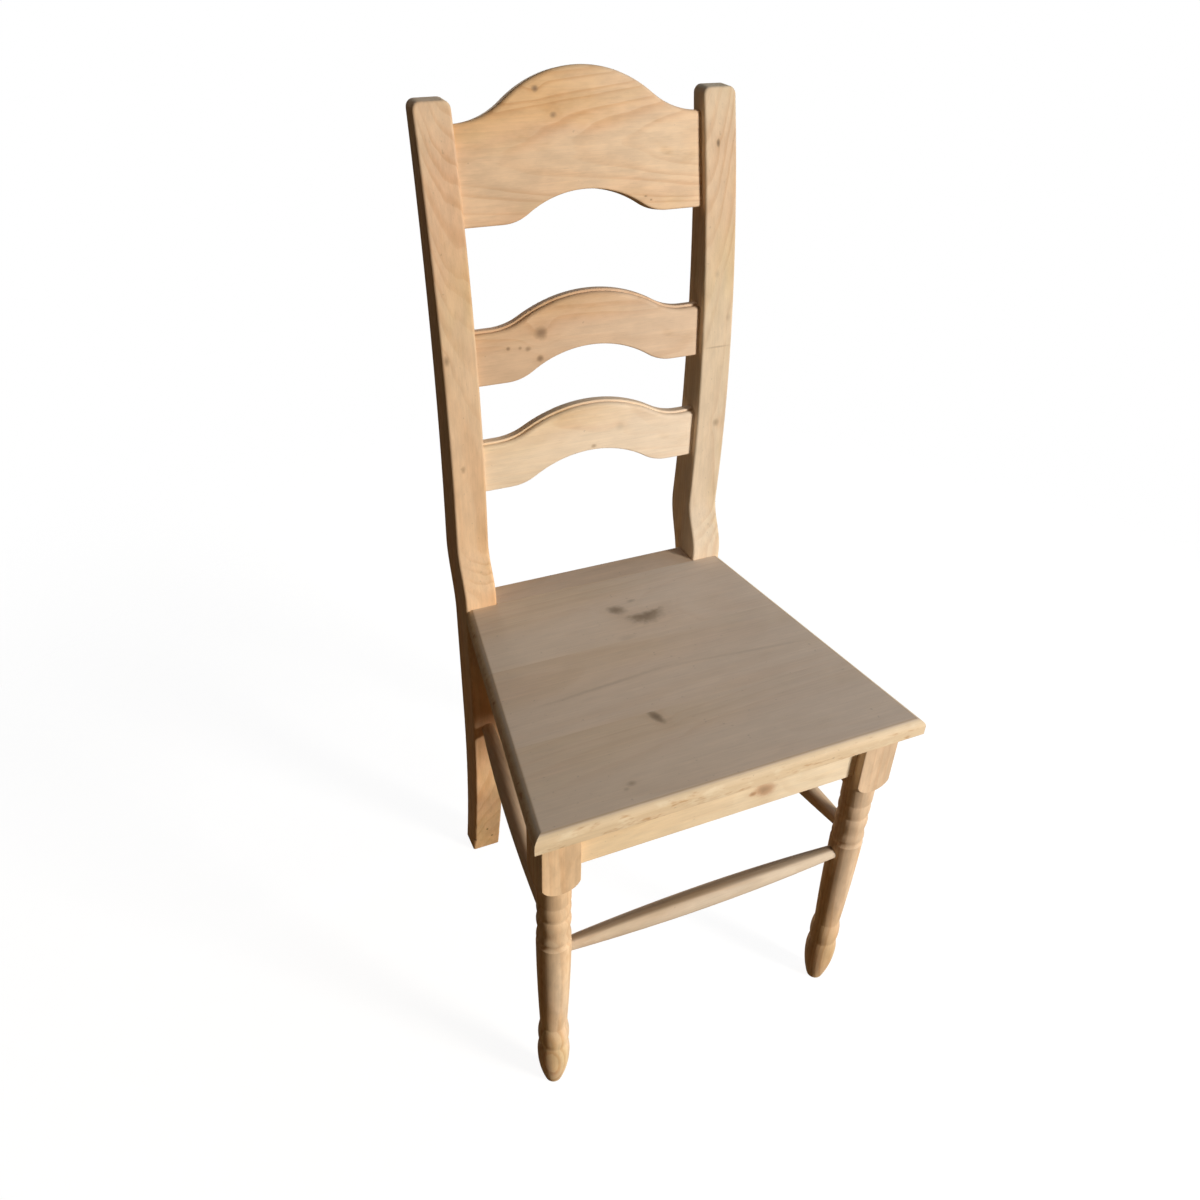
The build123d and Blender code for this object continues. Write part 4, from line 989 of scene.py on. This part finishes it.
class CHAIR_OT_stage(bpy.types.Operator):
    """The pale floor, the soft lamps, the white surround and the camera"""

    bl_idname = "chair.stage"
    bl_label = "Stage"

    def execute(self, context):
        scene = context.scene
        stage = scene.chair_stage
        floor = pale_floor(stage.floor_radius)

        target = stage.lamp_target
        soft_lamp("key_lamp", stage.key_place, target, stage.key_power, stage.key_size, stage.key_colour)
        soft_lamp("side_lamp", stage.side_place, target, stage.side_power, stage.side_size, stage.side_colour)
        soft_lamp("back_lamp", stage.back_place, target, stage.back_power, stage.back_size, stage.key_colour)
        scene.world = white_surround(stage.room_colour)
        scene.view_settings.view_transform = "Standard"

        lens = bpy.data.cameras.new("camera")
        lens.lens = stage.focal_length
        lens.sensor_width = SENSOR_WIDTH
        lens.clip_start = CLIP_START
        camera = bpy.data.objects.new("camera", lens)
        camera.location = stage.camera_place
        camera.rotation_euler = Euler(stage.camera_turn)
        scene.collection.objects.link(camera)
        scene.camera = camera
        return {"FINISHED"}


SETTINGS = (PineSettings, SteelSettings, StageSettings)

STEPS = (
    CHAIR_OT_rear_posts,
    CHAIR_OT_back_rails,
    CHAIR_OT_front_legs,
    CHAIR_OT_aprons,
    CHAIR_OT_stretchers,
    CHAIR_OT_seat_boards,
    CHAIR_OT_corner_blocks,
    CHAIR_OT_fastenings,
    CHAIR_OT_stage,
)


class VIEW3D_PT_chair(bpy.types.Panel):
    """The chair's pieces and the sizes and colours that can be changed"""

    bl_idname = "VIEW3D_PT_chair"
    bl_label = "Pine Chair"
    bl_space_type = "VIEW_3D"
    bl_region_type = "UI"
    bl_category = "Chair"

    def draw(self, context):
        layout = self.layout
        for step in STEPS:
            layout.operator(step.bl_idname)
        for settings in (context.scene.chair_pine, context.scene.chair_steel, context.scene.chair_stage):
            box = layout.box()
            for name in settings.__annotations__:
                box.prop(settings, name)


CLASSES = SETTINGS + STEPS + (VIEW3D_PT_chair,)


def register():
    for kind in CLASSES:
        bpy.utils.register_class(kind)
    bpy.types.Scene.chair_pine = PointerProperty(type=PineSettings)
    bpy.types.Scene.chair_steel = PointerProperty(type=SteelSettings)
    bpy.types.Scene.chair_stage = PointerProperty(type=StageSettings)


def unregister():
    del bpy.types.Scene.chair_stage
    del bpy.types.Scene.chair_steel
    del bpy.types.Scene.chair_pine
    for kind in reversed(CLASSES):
        bpy.utils.unregister_class(kind)


def main():
    register()
    bpy.ops.chair.rear_posts()
    bpy.ops.chair.back_rails()
    bpy.ops.chair.front_legs()
    bpy.ops.chair.aprons()
    bpy.ops.chair.stretchers()
    bpy.ops.chair.seat_boards()
    bpy.ops.chair.corner_blocks()
    bpy.ops.chair.fastenings()
    bpy.ops.chair.stage()


if __name__ == "__main__":
    main()
